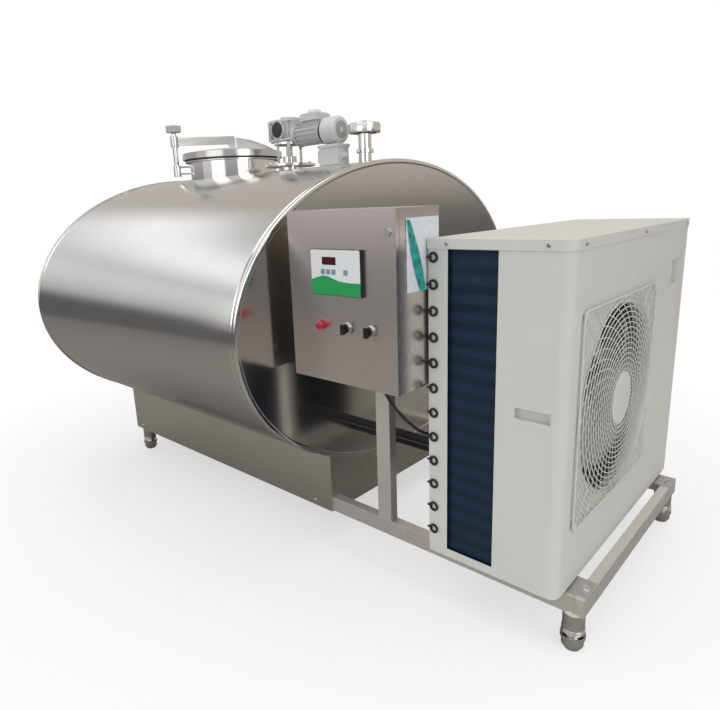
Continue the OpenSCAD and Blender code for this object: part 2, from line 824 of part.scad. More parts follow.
module controller() {
  color("black") translate([panel_x, box_front - panel_t2, panel_z]) {
    cube([panel_w, panel_t2, panel_h]);
    translate([8.5, panel_t2 - eps, 8.5]) cube([panel_w - 17, 40, panel_h - 17]);
  }
}

// A round head on the door with its threaded body and contact block behind
module panel_body(x, r, head) {
  translate([x, box_front, control_z]) rotate([90, 0, 0]) {
    difference() {
      cylinder(r = r, h = head, $fn = 48);
      translate([0, 0, -eps]) cylinder(r = 8 + running, h = head + 1, $fn = 40);
    }
  }
  translate([x, box_front, control_z]) rotate([-90, 0, 0]) {
    translate([0, 0, -eps]) pipe(knob_hole - 0.3, 8 + running, 12);
    translate([-14, -14, 11.9]) cube([28, 28, 30]);
  }
}

module selector_bezels() {
  color("gainsboro") for (x = selector_x) panel_body(x, bezel_r, 7);
}

module pilot_lamp() {
  color("crimson") translate([lamp_x, box_front, control_z]) rotate([90, 0, 0]) {
    cylinder(r = bezel_r, h = 6, $fn = 48);
    cylinder(r = bezel_r - 2.5, h = 22, $fn = 48);
    translate([0, 0, 22 - eps]) cylinder(r1 = bezel_r - 2.5, r2 = 8, h = 4, $fn = 48);
    translate([0, 0, -30]) cylinder(r = knob_hole - 0.3, h = 30 + eps, $fn = 40);
  }
}

module selector(x) {
  translate([x, box_front, control_z]) rotate([90, 0, 0]) {
    translate([0, 0, -8]) cylinder(r = 8, h = 15.5, $fn = 40);
    translate([0, 0, 7.3]) cylinder(r = 11, h = 5, $fn = 40);
    translate([-5.5, -17, 12 + eps]) cube([11, 30, 12]);
  }
}

module left_selector() { color("black") selector(selector_x[0]); }
module right_selector() { color("black") selector(selector_x[1]); }

module door_lock() {
  color("dimgray") translate([lock_x, box_front, lock_z]) rotate([-90, 0, 0]) {
    translate([0, 0, -1.5]) cylinder(r = lock_r, h = door_d + 5, $fn = 40);
    translate([0, 0, -3.5]) cylinder(r = lock_r + 2, h = 3.2, $fn = 40);
    translate([-6, 0, door_d + 3.2]) cube([12, 21, 3]);
  }
}

// Plan outline of the condensing unit, with round corners on the fan side
module unit_plan(inset) {
  r = unit_r - inset;
  difference() {
    union() {
      translate([x_unit + inset, -half_w + inset])
        square([unit_d - unit_r - inset, unit_w - 2 * inset]);
      translate([x_unit + inset, -half_w + unit_r]) square([unit_d - 2 * inset, unit_w - 2 * unit_r]);
      for (s = [-1, 1]) translate([x_front - unit_r, s * (half_w - unit_r)]) circle(r = r, $fn = 64);
    }
  }
}

module unit_wall(z, height, thick = panel_t, inset = 0) {
  translate([0, 0, z]) linear_extrude(height) difference() {
    unit_plan(inset);
    unit_plan(inset + thick);
  }
}

module unit_base() {
  color("gainsboro") {
    translate([0, 0, unit_z]) linear_extrude(panel_t) unit_plan(0.5);
    unit_wall(unit_z, base_h, panel_t, 0.5);
  }
}

panel_z0 = unit_z + base_h + 0.3;
panel_z1 = unit_top - cover_lip + 20;

module fan_panel() {
  height = panel_z1 - panel_z0;
  color("gainsboro") difference() {
    union() {
      intersection() {
        unit_wall(panel_z0, height);
        translate([coil_end, -half_w - 1, 0]) cube([unit_d, 1.5 * unit_w, 2000]);
      }
      translate([x_front - 22, fan_y, fan_z]) rotate([0, 90, 0])
        pipe(orifice_r + 3, orifice_r, 21);
      translate([x_front - 20, half_w - 216, unit_z + 734]) cube([19, 110, 88]);
      translate([coil_end + 52, -half_w + 1, unit_z + 488]) cube([100, 17, 34]);
      // Folded edge beside the coil
      translate([coil_end, -half_w + 0.5, panel_z0]) cube([panel_t, 26, height]);
    }
    translate([x_front - 30, fan_y, fan_z]) rotate([0, 90, 0]) cylinder(r = orifice_r, h = 60, $fn = 96);
    translate([x_front - 18, half_w - 213, unit_z + 737]) cube([30, 104, 82]);
    translate([coil_end + 54, -half_w - 1, unit_z + 490]) cube([96, 17, 30]);
    translate([x_unit, half_w - 60, 0]) cube([unit_d - unit_r - 60, 100, 2000]);
  }
}

module unit_panels() {
  height = panel_z1 - panel_z0;
  color("gainsboro") {
    // Post at the corner between the coil's two legs
    translate([x_unit, -half_w, panel_z0]) difference() {
      cube([62, 20, height]);
      translate([panel_t, panel_t, -1]) cube([62, 20, height + 2]);
    }
    // Back panel of the compressor bay
    translate([x_unit, divider_y, panel_z0]) cube([panel_t, half_w - divider_y - 0.5, height]);
    // Service panel on the right side
    translate([x_unit + panel_t + 0.3, half_w - panel_t, panel_z0])
      cube([unit_d - unit_r - 60 - panel_t - 0.6, panel_t, height]);
    // Wall between the fan bay and the compressor bay
    translate([x_unit + panel_t + 1, divider_y, unit_z + panel_t + 0.3])
      cube([unit_d - 2 * panel_t - 24, panel_t, panel_z1 - unit_z - panel_t - 0.6]);
  }
}

module top_cover() {
  color("whitesmoke") {
    translate([0, 0, unit_top - panel_t]) linear_extrude(panel_t) unit_plan(-panel_t - 0.3);
    unit_wall(unit_top - cover_lip, cover_lip, panel_t, -panel_t - 0.3);
  }
}

module condenser_coil() {
  height = panel_z1 - unit_z - panel_t - 4;
  y0 = -half_w + 10;
  bend = 46;
  corner = [coil_x + bend, y0 + bend];
  function arc(r, turns) = [for (t = turns) corner + r * [cos(t), sin(t)]];
  color("midnightblue") translate([0, 0, unit_z + panel_t + 0.3]) linear_extrude(height)
    polygon(concat(
      [[coil_x, coil_y2]], arc(bend, [180 : 15 : 270]),
      [[coil_end - 4, y0], [coil_end - 4, y0 + coil_t]], arc(bend - coil_t, [270 : -15 : 180]),
      [[coil_x + coil_t, coil_y2]]));
}

module coil_guard() {
  rows = 12;
  pitch = 74.6;
  first = unit_z + 77;
  y0 = -half_w - 4;
  x = x_unit - 5;
  color("black") {
    for (i = [0 : rows - 1]) {
      z = first + pitch * i;
      translate([x, y0, z]) cube([4, coil_y2 - y0, 4]);
      translate([x, y0, z]) cube([18, 3.7, 4]);
      translate([x_unit + 18, y0 + 1, z + 2]) rotate([90, 0, 0]) translate([0, 0, -1.85])
        difference() {
          cylinder(r = 15, h = 3.7, $fn = 40);
          translate([0, 0, -1]) cylinder(r = 8, h = 6, $fn = 32);
        }
    }
    for (i = [0 : 5])
      translate([x, y0 + 30 + 120 * i, first - 2]) cube([4, 4, pitch * (rows - 1) + 8]);
  }
}

// Square wire guard over the fan, drawn as rings on eight spokes in a frame
module fan_guard() {
  w = 4;
  x = x_front + 16;
  half = guard_w / 2;
  color("dimgray") translate([x, fan_y, fan_z]) rotate([0, 90, 0]) {
    for (r = [100 : 44 : half - 8])
      rotate_extrude($fn = 96) translate([r, 0]) square([w, w]);
    for (t = [0 : 45 : 315])
      rotate([0, 0, t]) translate([76, -w / 2, 0.5]) cube([half - 76 - 2, w, 3]);
    cylinder(r = 80, h = 6, $fn = 64);
    difference() {
      translate([-half, -half, -1]) cube([guard_w, guard_w, w]);
      translate([-half + w, -half + w, -2]) cube([guard_w - 2 * w, guard_w - 2 * w, 3 * w]);
    }
    for (p = [-1, 1], q = [-1, 1])
      translate([p * (half - 12) - 6, q * (half - 12) - 6, -16 + 0.3]) cube([12, 12, 18]);
    for (p = [-1, 1], q = [-1, 1])
      translate([p * (half - 12) - 12, q * (half - 12) - 12, -1]) cube([24, 24, 3]);
  }
}

module condenser_fan() {
  color("gray") translate([fan_x, fan_y, fan_z]) rotate([0, 90, 0]) difference() {
    union() {
      cylinder(r = hub_r, h = fan_depth, $fn = 64);
      for (i = [0 : blades - 1])
        rotate([0, 0, 360 / blades * i]) fan_blade();
    }
    translate([0, 0, -1]) cylinder(r = 6 + running, h = fan_depth - 8, $fn = 32);
    translate([0, 0, -1]) cylinder(r = hub_r - 4, h = 8, $fn = 48);
  }
}

module fan_blade() {
  intersection() {
    translate([hub_r - 6, 0, fan_depth / 2]) rotate([28, 0, 0])
      translate([0, -75, -2]) cube([fan_r, 150, 4]);
    cylinder(r = fan_r, h = fan_depth, $fn = 96);
  }
}

module fan_motor() {
  depth = 86;
  bracket_x = fan_x - 6 - depth - 8;
  color("black") translate([fan_x - 6 - depth, fan_y, fan_z]) rotate([0, 90, 0]) {
    cylinder(r = 62, h = depth, $fn = 64);
    translate([0, 0, depth - eps]) cylinder(r = 6, h = 48, $fn = 32);
  }
  color("gainsboro") for (s = [-1, 1])
    translate([bracket_x, fan_y + s * 42 - 12, unit_z + panel_t + 0.3])
      cube([8, 24, panel_z1 - unit_z - 8]);
}

module compressor() {
  cx = x_unit + 214;
  cy = (divider_y + half_w) / 2;
  z = unit_z + panel_t + 0.3;
  color("black") translate([cx, cy, z]) {
    rotate_extrude($fn = 64) union() {
      translate([0, 24]) square([82, 270]);
      translate([0, 293]) polygon([[0, 0], [82, 0], [64, 34], [30, 50], [0, 54]]);
      translate([0, 12]) polygon([[0, 0], [60, 0], [82, 13], [0, 13]]);
    }
    translate([-92, -76, 8]) cube([184, 152, 5]);
    for (p = [-1, 1], q = [-1, 1]) translate([p * 78, q * 62, 0]) cylinder(r = 12, h = 9, $fn = 32);
  }
  // Liquid receiver above it, strapped to the dividing wall
  receiver_r = 56;
  stand_off = 18;
  color("dimgray") translate([cx, divider_y + panel_t + stand_off + receiver_r, z + 430]) {
    cylinder(r = receiver_r, h = 300, $fn = 48);
    for (h = [40, 230])
      translate([-20, 0.3 - receiver_r - stand_off, h]) cube([40, receiver_r + stand_off, 30]);
  }
}

// One lagged pipe: out of the tank's end, along the back of the coil, into the unit,
// with a taped drum of lagging round each elbow
module lagged_pipe(r, y, z) {
  x_run = x_unit - 42;
  y_in = divider_y + 57;
  elbow_r = 1.5 * r;
  lap = 1.05 * r;  // where a pipe stops inside its elbow
  translate([x_near - 0.8, y, z]) rotate([0, 90, 0])
    cylinder(r = r, h = x_run - lap - x_near + 0.8, $fn = 40);
  translate([x_run, y + lap, z]) rotate([-90, 0, 0])
    cylinder(r = r, h = y_in - y - 2 * lap, $fn = 40);
  translate([x_run + lap, y_in, z]) rotate([0, 90, 0])
    cylinder(r = r, h = x_unit - x_run - lap - 0.2, $fn = 40);
  for (corner = [y, y_in])
    translate([x_run, corner, z - r - 2]) cylinder(r = elbow_r, h = 2 * r + 4, $fn = 48);
}

module refrigerant_pipes() {
  color("black") {
    lagged_pipe(15, -330, tank_clear + 192);
    lagged_pipe(9, -316, tank_clear + 156);
  }
}

module unit_channels() {
  x = x_unit + 8;
  length = x_bar + bar_w - 2 - x;
  h = unit_z - frame_top;
  color("gainsboro") for (s = [-1, 1])
    translate([x, s * channel_y - channel_w / 2, frame_top]) difference() {
      union() {
        cube([length, channel_w, 2.5]);
        for (y = [0, channel_w - 2.5]) translate([0, y, 0]) cube([unit_d - 12, 2.5, h]);
      }
      translate([length - 15, channel_w / 2, -1]) cylinder(r = 6.5, h = 6, $fn = 40);
    }
}

module bolt_head(r, h) {
  cylinder(r = r * 1.35, h = 1.5, $fn = 32);
  translate([0, 0, 1.5]) cylinder(r = r, h = h, $fn = 6);
}

module fasteners() {
  cover_z = unit_top - cover_lip / 2;
  cover_y = half_w + panel_t + 0.3;
  color("gainsboro") {
    for (s = [-1, 1])
      translate([x_bar + bar_w - 17, s * channel_y, frame_top + 2.5]) bolt_head(9, 7);
    for (s = [-1, 1], x = [x_unit + 60, x_front - 60])
      translate([x, s * cover_y, cover_z]) rotate([-90 * s, 0, 0]) bolt_head(4, 3);
    for (y = [-half_w + 60, 0, half_w - 60])
      translate([x_front + panel_t + 0.3, y, cover_z]) rotate([0, 90, 0]) bolt_head(4, 3);
    for (s = [-1, 1], x = [x_rail + 60, x_near - 90], z = [frame_clear + 20])
      translate([x, s * (frame_w / 2 + skirt_out), z]) rotate([-90 * s, 0, 0]) bolt_head(4, 3);
    for (t = [22.5 : 45 : 337.5])
      translate([x_agitator + 94 * cos(t), 94 * sin(t), pedestal_z + pedestal_t]) bolt_head(6, 5);
  }
}

// Sweeps a round section along the cable's own points
module sweep(points, r, sides = 8) {
  n = len(points);
  function dir(i) =
    let (d = points[min(i + 1, n - 1)] - points[max(i - 1, 0)]) d / norm(d);
  function side(i) = let (c = cross(dir(i), [-1, 1, 1])) c / norm(c);
  rings = [for (i = [0 : n - 1], k = [0 : sides - 1])
    points[i] + r * (cos(360 * k / sides) * side(i) + sin(360 * k / sides) * cross(dir(i), side(i)))];
  polyhedron(rings, concat(
    [[for (k = [0 : sides - 1]) k]],
    [for (i = [0 : n - 2], k = [0 : sides - 1])
      [i * sides + k, (i + 1) * sides + k, (i + 1) * sides + (k + 1) % sides, i * sides + (k + 1) % sides]],
    [[for (k = [sides - 1 : -1 : 0]) (n - 1) * sides + k]]));
}

module unit_cable() {
  color("black") translate([x_cable, y_cable, box_z]) {
    translate([0, 0, -14]) cylinder(r = 8.7, h = 22, $fn = 40);
    translate([0, 0, -4.3]) cylinder(r = 13, h = 4, $fn = 40);
    translate([0, 0, -12]) sweep(cable_route, cable_r);
  }
}

outer_shell();
end_plates();
end_rims();
insulation();
inner_vessel();
evaporator_plate();
manhole_neck();
lid_gasket();
manhole_lid();
lid_arm();
lid_post();
hand_knob();
agitator_pedestal();
gearbox();
motor_body();
fan_cowl();
motor_fan();
terminal_box();
agitator();
junction_box();
vent_pipe();
vent_cap();
outlet_pipe();
valve_body();
valve_disc();
valve_handle();
base_rails();
cross_members();
tank_saddles();
skirts();
leg_sockets();
left_outlet_foot();
right_outlet_foot();
left_unit_foot();
right_unit_foot();
box_post();
control_box();
box_door();
door_hinges();
mounting_plate();
controller();
pilot_lamp();
selector_bezels();
left_selector();
right_selector();
door_lock();
unit_base();
unit_panels();
fan_panel();
top_cover();
condenser_coil();
coil_guard();
fan_guard();
condenser_fan();
fan_motor();
compressor();
refrigerant_pipes();
unit_channels();
fasteners();
unit_cable();
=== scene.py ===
# %% [markdown]
# # A bulk milk tank
# A dairy tank is an oval stainless vessel inside a second stainless skin, with foam
# between them. It stands on a tube frame that it shares with a condensing unit. The
# packed model already fixes every size and every joint, so this notebook only dresses
# it: softer edges, rounder sheets, wire guards, and a procedural finish for each metal.

# %% The packed model
import json
import math

import bmesh
import bpy
from mathutils import Matrix, Vector


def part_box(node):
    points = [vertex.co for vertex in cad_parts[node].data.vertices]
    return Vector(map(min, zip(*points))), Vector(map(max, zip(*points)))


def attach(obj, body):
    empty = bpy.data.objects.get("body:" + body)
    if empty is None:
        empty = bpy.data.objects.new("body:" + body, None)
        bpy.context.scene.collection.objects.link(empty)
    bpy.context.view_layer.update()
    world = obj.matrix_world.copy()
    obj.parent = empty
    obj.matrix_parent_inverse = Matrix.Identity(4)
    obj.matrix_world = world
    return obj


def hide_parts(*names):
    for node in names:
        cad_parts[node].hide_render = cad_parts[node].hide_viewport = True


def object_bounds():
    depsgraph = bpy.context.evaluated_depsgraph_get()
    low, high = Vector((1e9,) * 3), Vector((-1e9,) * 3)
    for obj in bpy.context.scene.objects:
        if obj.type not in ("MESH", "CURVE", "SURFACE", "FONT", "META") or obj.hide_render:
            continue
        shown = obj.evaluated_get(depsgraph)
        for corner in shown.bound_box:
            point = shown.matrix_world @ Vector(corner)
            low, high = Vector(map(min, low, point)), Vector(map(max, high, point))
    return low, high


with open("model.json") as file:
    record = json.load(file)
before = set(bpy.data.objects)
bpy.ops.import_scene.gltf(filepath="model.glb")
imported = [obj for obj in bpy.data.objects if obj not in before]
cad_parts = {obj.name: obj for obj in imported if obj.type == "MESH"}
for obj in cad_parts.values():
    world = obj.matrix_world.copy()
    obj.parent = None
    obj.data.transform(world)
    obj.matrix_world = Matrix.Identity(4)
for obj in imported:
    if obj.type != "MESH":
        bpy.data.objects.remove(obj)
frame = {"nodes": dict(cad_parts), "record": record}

record = frame["record"]
cad_lo, cad_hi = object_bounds()
body_of = {n: b for b, members in record["behaviour"]["bodies"].items() for n in members}
slot_of = {part["node"]: part["material_slot"] for part in record["subparts"]}
packed_slots = set(slot_of.values())
print("model box", [round(v, 3) for v in cad_hi - cad_lo], "nodes", len(slot_of))

# %% [markdown]
# ## The camera
# The tank is seen from the condensing unit's end, from just above the unit's top, with
# a wide lens. A camera could also be aimed at a target, but three angles say the same
# with less. It comes first, because the cable is checked against what the camera sees.

# %% Camera
eye = Vector((1.7297, -1.8669, 1.2336))
camera = bpy.data.objects.new("camera", bpy.data.cameras.new("camera"))
bpy.context.scene.collection.objects.link(camera)
camera.location = eye
camera.rotation_euler = [math.radians(v) for v in (76.18, 2.42, 42.80)]
camera.data.lens, camera.data.sensor_width = 29.15, 36
camera.data.shift_x, camera.data.shift_y = 0.033, -0.0115
camera.data.clip_end = 60
bpy.context.scene.camera = camera
print("camera at", tuple(eye))

# %% [markdown]
# ## Expressions made of nodes
# Shader maths could be wired node by node, but it is easier to read as sums. `Value`
# wraps an output socket and overloads the operators, so `1 - streak * 0.2` adds its own
# Math nodes. `Tree` makes any other node, and `Finish` is the tree of one material.

# %% A socket that can be used in sums
class Value:
    def __init__(self, tree, socket):
        self.tree, self.socket = tree, socket

    def calc(self, operation, first, second):
        return self.tree.add("Math", {"operation": operation}, {0: first, 1: second})

    def __add__(self, other):
        return self.calc("ADD", self, other)

    def __radd__(self, other):
        return self.calc("ADD", other, self)

    def __sub__(self, other):
        return self.calc("SUBTRACT", self, other)

    def __rsub__(self, other):
        return self.calc("SUBTRACT", other, self)

    def __mul__(self, other):
        return self.calc("MULTIPLY", self, other)

    def __rmul__(self, other):
        return self.calc("MULTIPLY", other, self)

    def ramp(self, low, high, to_low=0.0, to_high=1.0):
        """Stretches low..high to to_low..to_high, and holds it there."""
        return self.tree.add("MapRange", {"clamp": True}, {
            "Value": self, "From Min": low, "From Max": high, "To Min": to_low, "To Max": to_high})

    def sibling(self, name):
        """Another output of the same node."""
        return Value(self.tree, self.socket.node.outputs[name])

print("a Value knows + - * and ramp")

# %% A tree that makes its own nodes
class Tree:
    def __init__(self, tree):
        self.nodes, self.links = tree.nodes, tree.links

    def add(self, kind, settings=(), inputs=(), out=0):
        """One node: its type, its settings, then a value or a link for each socket."""
        node = self.nodes.new("ShaderNode" + kind)
        for key, value in dict(settings).items():
            setattr(node, key, value)
        for key, value in dict(inputs).items():
            if isinstance(value, Value):
                self.links.new(value.socket, node.inputs[key])
            else:
                node.inputs[key].default_value = value
        return Value(self, node.outputs[out])

    def place(self, scale=(1, 1, 1)):
        """The model's own coordinates in metres, stretched on each axis."""
        return self.add("Mapping", inputs={"Vector": self.add("TexCoord", out="Object"), "Scale": scale})

    def noise(self, scale, detail=3.0, stretch=(1, 1, 1)):
        return self.add("TexNoise", inputs={
            "Vector": self.place(stretch), "Scale": scale, "Detail": detail, "Roughness": 0.55})

    def mix(self, factor, first, second):
        """Blends two colours; a Math node would turn them grey."""
        return self.add("Mix", {"data_type": "RGBA"}, {0: factor, 6: first, 7: second}, out=2)

    def surface(self, output, shader):
        """Sends a finished shader to the tree's output node."""
        self.links.new(shader.socket, self.nodes[output].inputs["Surface"])

print("a Tree knows", [name for name in vars(Tree) if not name.startswith("_")])

# %% A material in the making
class Finish(Tree):
    def __init__(self, name, colour, roughness, metallic=0.0, **fixed):
        self.material = bpy.data.materials.new(name)
        self.material.use_nodes = True
        super().__init__(self.material.node_tree)
        self.shader = self.nodes["Principled BSDF"]
        self.colour = (*colour, 1.0)
        constants = {"Base Color": self.colour, "Roughness": roughness, "Metallic": metallic, **fixed}
        for key, value in constants.items():
            self.shader.inputs[key.replace("_", " ")].default_value = value

    def feed(self, socket, value):
        self.links.new(value.socket, self.shader.inputs[socket])

    def tint(self, factor, other):
        """Moves the base colour towards another one where factor is high."""
        self.feed("Base Color", self.mix(factor, self.colour, (*other, 1.0)))

    def bump(self, height, distance, strength=1.0):
        """A Bump node whose distance is the depth of the relief in metres."""
        self.feed("Normal", self.add("Bump", inputs={
            "Height": height, "Distance": distance, "Strength": strength}))

finishes = {}
print("slots to finish:", len(packed_slots))

# %% [markdown]
# ## Stainless steel, four ways
# One alloy, but four surfaces. The shell is brushed sheet, the end plates are cold
# rolled and almost smooth, the fittings are mirror polished, and the frame is plain
# pickled tube. Scratches could be painted on, but noise squeezed along one axis looks
# brushed from any side. It works in metres, so it is as fine on a bolt as on the shell.

# %% Brushed and rolled sheet
def brushed(slot, colour, roughness, stretch, depth=0.000008, tint=(0.52, 0.50, 0.47), streak=0.25,
            metallic=1.0):
    """Sheet with a grain: stretch is lowest along the scratches, streak is how much they show."""
    finish = Finish(slot, colour, roughness, metallic)
    grain = finish.noise(1.0, 3.0, stretch)
    cloud = finish.noise(2.2, 2.0)
    finish.tint(cloud.ramp(0.35, 0.75, 0.0, 0.4) + (grain - 0.5) * streak, tint)
    finish.feed("Roughness", roughness + (grain - 0.5) * 0.4 * streak + (cloud - 0.5) * 0.06)
    finish.bump(grain, depth, 0.6)
    finishes[slot] = finish

brushed("shell", (0.70, 0.695, 0.68), 0.17, (240, 5, 5), 0.0000015, (0.64, 0.63, 0.61))
brushed("end_sheet", (0.76, 0.735, 0.705), 0.16, (5, 6, 60), 0.0000005, (0.71, 0.68, 0.65), 0.12)
brushed("vessel", (0.76, 0.76, 0.75), 0.22, (3, 3, 220))
brushed("stainless", (0.72, 0.71, 0.69), 0.18, (90, 90, 9), 0.000004)
brushed("frame_steel", (0.82, 0.80, 0.77), 0.24, (60, 60, 260), tint=(0.72, 0.69, 0.65), metallic=0.72)
brushed("skirt_sheet", (0.78, 0.755, 0.72), 0.26, (400, 400, 6), 0.000001, (0.70, 0.67, 0.63), 0.10)
brushed("box_steel", (0.82, 0.765, 0.735), 0.27, (260, 260, 3), 0.0000001, (0.77, 0.71, 0.69), 0.02)
brushed("galvanised", (0.60, 0.61, 0.61), 0.42, (30, 30, 30))
print("brushed:", sorted(finishes))

# %% Polished fittings
def polished(slot, colour, roughness):
    """Mirror polish with faint smears and the slow waves that buffing leaves."""
    finish = Finish(slot, colour, roughness, 1.0)
    smear = finish.noise(26.0)
    finish.feed("Roughness", smear.ramp(0.35, 0.8, roughness, roughness + 0.12))
    finish.bump(finish.noise(9.0, 1.0), 0.0006, 0.25)
    finishes[slot] = finish

polished("polished", (0.78, 0.77, 0.75), 0.07)
polished("bolt", (0.70, 0.70, 0.69), 0.16)
polished("bezel", (0.74, 0.74, 0.73), 0.12)
print("metals in all:", len(finishes))

# %% [markdown]
# ## Paint, plastic and rubber
# The condensing unit is powder coated, which leaves a fine orange peel. Castings carry
# a coarser skin under their paint. Rubber and moulded plastic differ mostly in how wide
# their highlights are. One function makes them all, because each is a colour that fades
# a little in patches, over a skin of bumps whose size tells the material.

# %% Coated and moulded finishes
def coated(slot, colour, roughness, peel=900.0, depth=0.00004):
    """peel is how fine the skin's bumps are, and depth how deep."""
    finish = Finish(slot, colour, roughness)
    cloud = finish.noise(3.0)
    finish.tint(cloud.ramp(0.45, 0.8, 0.0, 0.35), tuple(v * 0.86 for v in colour))
    finish.feed("Roughness", cloud.ramp(0.3, 0.8, roughness - 0.05, roughness + 0.08))
    finish.bump(finish.noise(peel, 2.0), depth, 0.5)
    finishes[slot] = finish

coated("unit_paint", (0.62, 0.62, 0.59), 0.40, 700.0)
coated("guard_wire", (0.62, 0.62, 0.59), 0.38, 700.0)
coated("blade", (0.36, 0.355, 0.35), 0.45, 1200.0)
coated("gear_cast", (0.58, 0.59, 0.59), 0.36, 1500.0, 0.00012)
coated("motor_cast", (0.50, 0.51, 0.52), 0.38, 1500.0, 0.00012)
coated("cowl_paint", (0.60, 0.62, 0.60), 0.35)
coated("motor_black", (0.025, 0.025, 0.027), 0.4)
coated("wire_black", (0.018, 0.018, 0.02), 0.42)
coated("gasket", (0.055, 0.055, 0.055), 0.6)
coated("knob", (0.46, 0.46, 0.47), 0.32)
coated("fan_plastic", (0.03, 0.033, 0.033), 0.5)
coated("controller_case", (0.012, 0.012, 0.013), 0.45)
coated("switch_black", (0.012, 0.012, 0.012), 0.28)
coated("pipe_wrap", (0.014, 0.014, 0.015), 0.7, 400.0, 0.0002)
coated("cable", (0.012, 0.012, 0.012), 0.42)
coated("foam", (0.72, 0.62, 0.36), 0.9, 300.0, 0.0004)
print("finishes so far:", len(finishes))

# %% [markdown]
# ## The lamp and the coil
# The pilot lamp is a clear red lens: a dark base, a coat for the gloss and a breath of
# glow. The coil is a stack of thin fins on rows of tube. Hundreds of fins could be
# built, but at this size two wave textures read the same: one for fins, one for rows.

# %% Lamp lens
lens = Finish("lamp", (0.34, 0.004, 0.030), 0.14, Coat_Weight=0.6, Emission_Strength=0.06)
lens.feed("Emission Color", lens.mix(
    lens.noise(300.0, 1.0).ramp(0.3, 0.7), (0.75, 0.02, 0.10, 1), (0.9, 0.10, 0.22, 1)))
finishes["lamp"] = lens
print("lamp base colour", lens.colour[:3])

# %% Coil fins
fin_waves, row_waves = 175.0, 6.3
fins = Finish("coil", (0.006, 0.022, 0.050), 0.30, 0.3)
lines = fins.add("TexWave", {"bands_direction": "DIAGONAL", "wave_profile": "SAW"}, {
    "Vector": fins.place((1, 1, 0)), "Scale": fin_waves, "Distortion": 0.0})
rows = fins.add("TexWave", {"bands_direction": "Z"}, {
    "Vector": fins.place(), "Scale": row_waves, "Distortion": 0.0})
fins.tint((rows.ramp(0.2, 0.9) * 0.7) * lines.ramp(0.2, 0.9), (0.012, 0.055, 0.105))
fins.feed("Roughness", rows.ramp(0.0, 1.0, 0.28, 0.46))
fins.bump(lines, 0.0009, 0.6)
finishes["coil"] = fins
print("slots with no finish:", sorted(packed_slots - set(finishes)))

# %% [markdown]
# ## Pieces
# Every piece is made in the frame's own coordinates with its object at the origin, so
# a finish that works in metres lines up across pieces. `dress` gives an object its
# finish and its body. A sharp corner never catches light, so `soften` copies a packed
# node, clears its spare edges and rounds what is left with a bevel that stays live.

# %% Handing a piece over
def dress(piece, slot, body, stands_for):
    """Links a piece, and says what it rides on and which packed nodes it replaces."""
    bpy.context.scene.collection.objects.link(piece)
    piece.data.materials.append(finishes[slot].material)
    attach(piece, body)
    slot in packed_slots
    if stands_for:
        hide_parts(*stands_for)
    return piece

def publish(name, work, slot, body="root", stands_for=(), smooth=32.0, outward=True):
    """Turns a finished bmesh into a piece; edges sharper than smooth degrees stay crisp."""
    if outward:
        bmesh.ops.recalc_face_normals(work, faces=work.faces)
    mesh = bpy.data.meshes.new(name)
    work.to_mesh(mesh)
    work.free()
    mesh.polygons.foreach_set("use_smooth", [True] * len(mesh.polygons))
    mesh.set_sharp_from_angle(angle=math.radians(smooth))
    return dress(bpy.data.objects.new(name, mesh), slot, body, stands_for)

print("a piece needs a name, a mesh, a slot and a body")

# %% Rounding the corners of a packed node
def soften(node, width=0.0008, rounds=2):
    """A copy of a packed node with its flat faces merged and its corners bevelled."""
    work = bmesh.new()
    work.from_mesh(frame["nodes"][node].data)
    bmesh.ops.remove_doubles(work, verts=work.verts, dist=1e-5)
    bmesh.ops.dissolve_limit(work, angle_limit=math.radians(0.6), verts=work.verts, edges=work.edges)
    piece = publish(node + "_soft", work, slot_of[node], body_of[node], [node], outward=False)
    if width:
        edge = piece.modifiers.new("edge", "BEVEL")
        edge.width, edge.segments, edge.limit_method = width, rounds, "ANGLE"
        edge.angle_limit = math.radians(34)
        edge.harden_normals = True

hidden_inside = ["insulation", "inner_vessel", "evaporator_plate", "agitator", "mounting_plate",
                 "compressor", "valve_disc", "motor_fan"]
for node in hidden_inside:
    packed = frame["nodes"][node].data
    packed.materials.clear()
    packed.materials.append(finishes[slot_of[node]].material)
print("kept as packed:", len(hidden_inside))

# %% [markdown]
# ## Turned, swept and drawn pieces
# A few makers cover most of the tank. A lathe spins a profile about an axis, a plate is
# a block with rounded edges, a slab is an outline with a thickness, and a wire is round
# stock along a line. Rings of points are joined by hand instead of by a screw or sweep
# modifier, because the same few lines then serve the oval, the blades and the film.

# %% Points, rings and rows
def arc(cx, cy, radius, degrees):
    """(x, y) points round a centre, one for each angle."""
    return [(cx + radius * math.cos(math.radians(t)), cy + radius * math.sin(math.radians(t)))
            for t in degrees]

def join_rows(work, rows):
    """Quads between each row of points and the next."""
    for a, b in zip(rows, rows[1:]):
        for j in range(len(a) - 1):
            work.faces.new((a[j], a[j + 1], b[j + 1], b[j]))

def join_rings(work, rings):
    """Quads from each profile to the next, and from the last back to the first."""
    for here, there in zip(rings, rings[1:] + rings[:1]):
        for j in range(len(here) - 1):
            work.faces.new((here[j], there[j], there[j + 1], here[j + 1]))

print("a quarter turn in 90 degree steps:", len(arc(0, 0, 1, (0, 90))), "points")

# %% Lathe, plate and slab
def lathe(profile, centre, axis="Z", steps=96):
    """Spins (radius, height) points about an axis through centre."""
    spin = {"Z": Matrix.Identity(3),
            "X": Matrix(((0, 0, 1), (0, 1, 0), (-1, 0, 0))),
            "-Y": Matrix(((1, 0, 0), (0, 0, -1), (0, 1, 0)))}[axis]
    work = bmesh.new()
    rings = []
    for i in range(steps):
        t = 2 * math.pi * i / steps
        rings.append([work.verts.new(Vector(centre) + spin @ Vector(
            (r * math.cos(t), r * math.sin(t), h))) for r, h in profile])
    join_rings(work, rings)
    bmesh.ops.remove_doubles(work, verts=work.verts, dist=1e-7)
    return work

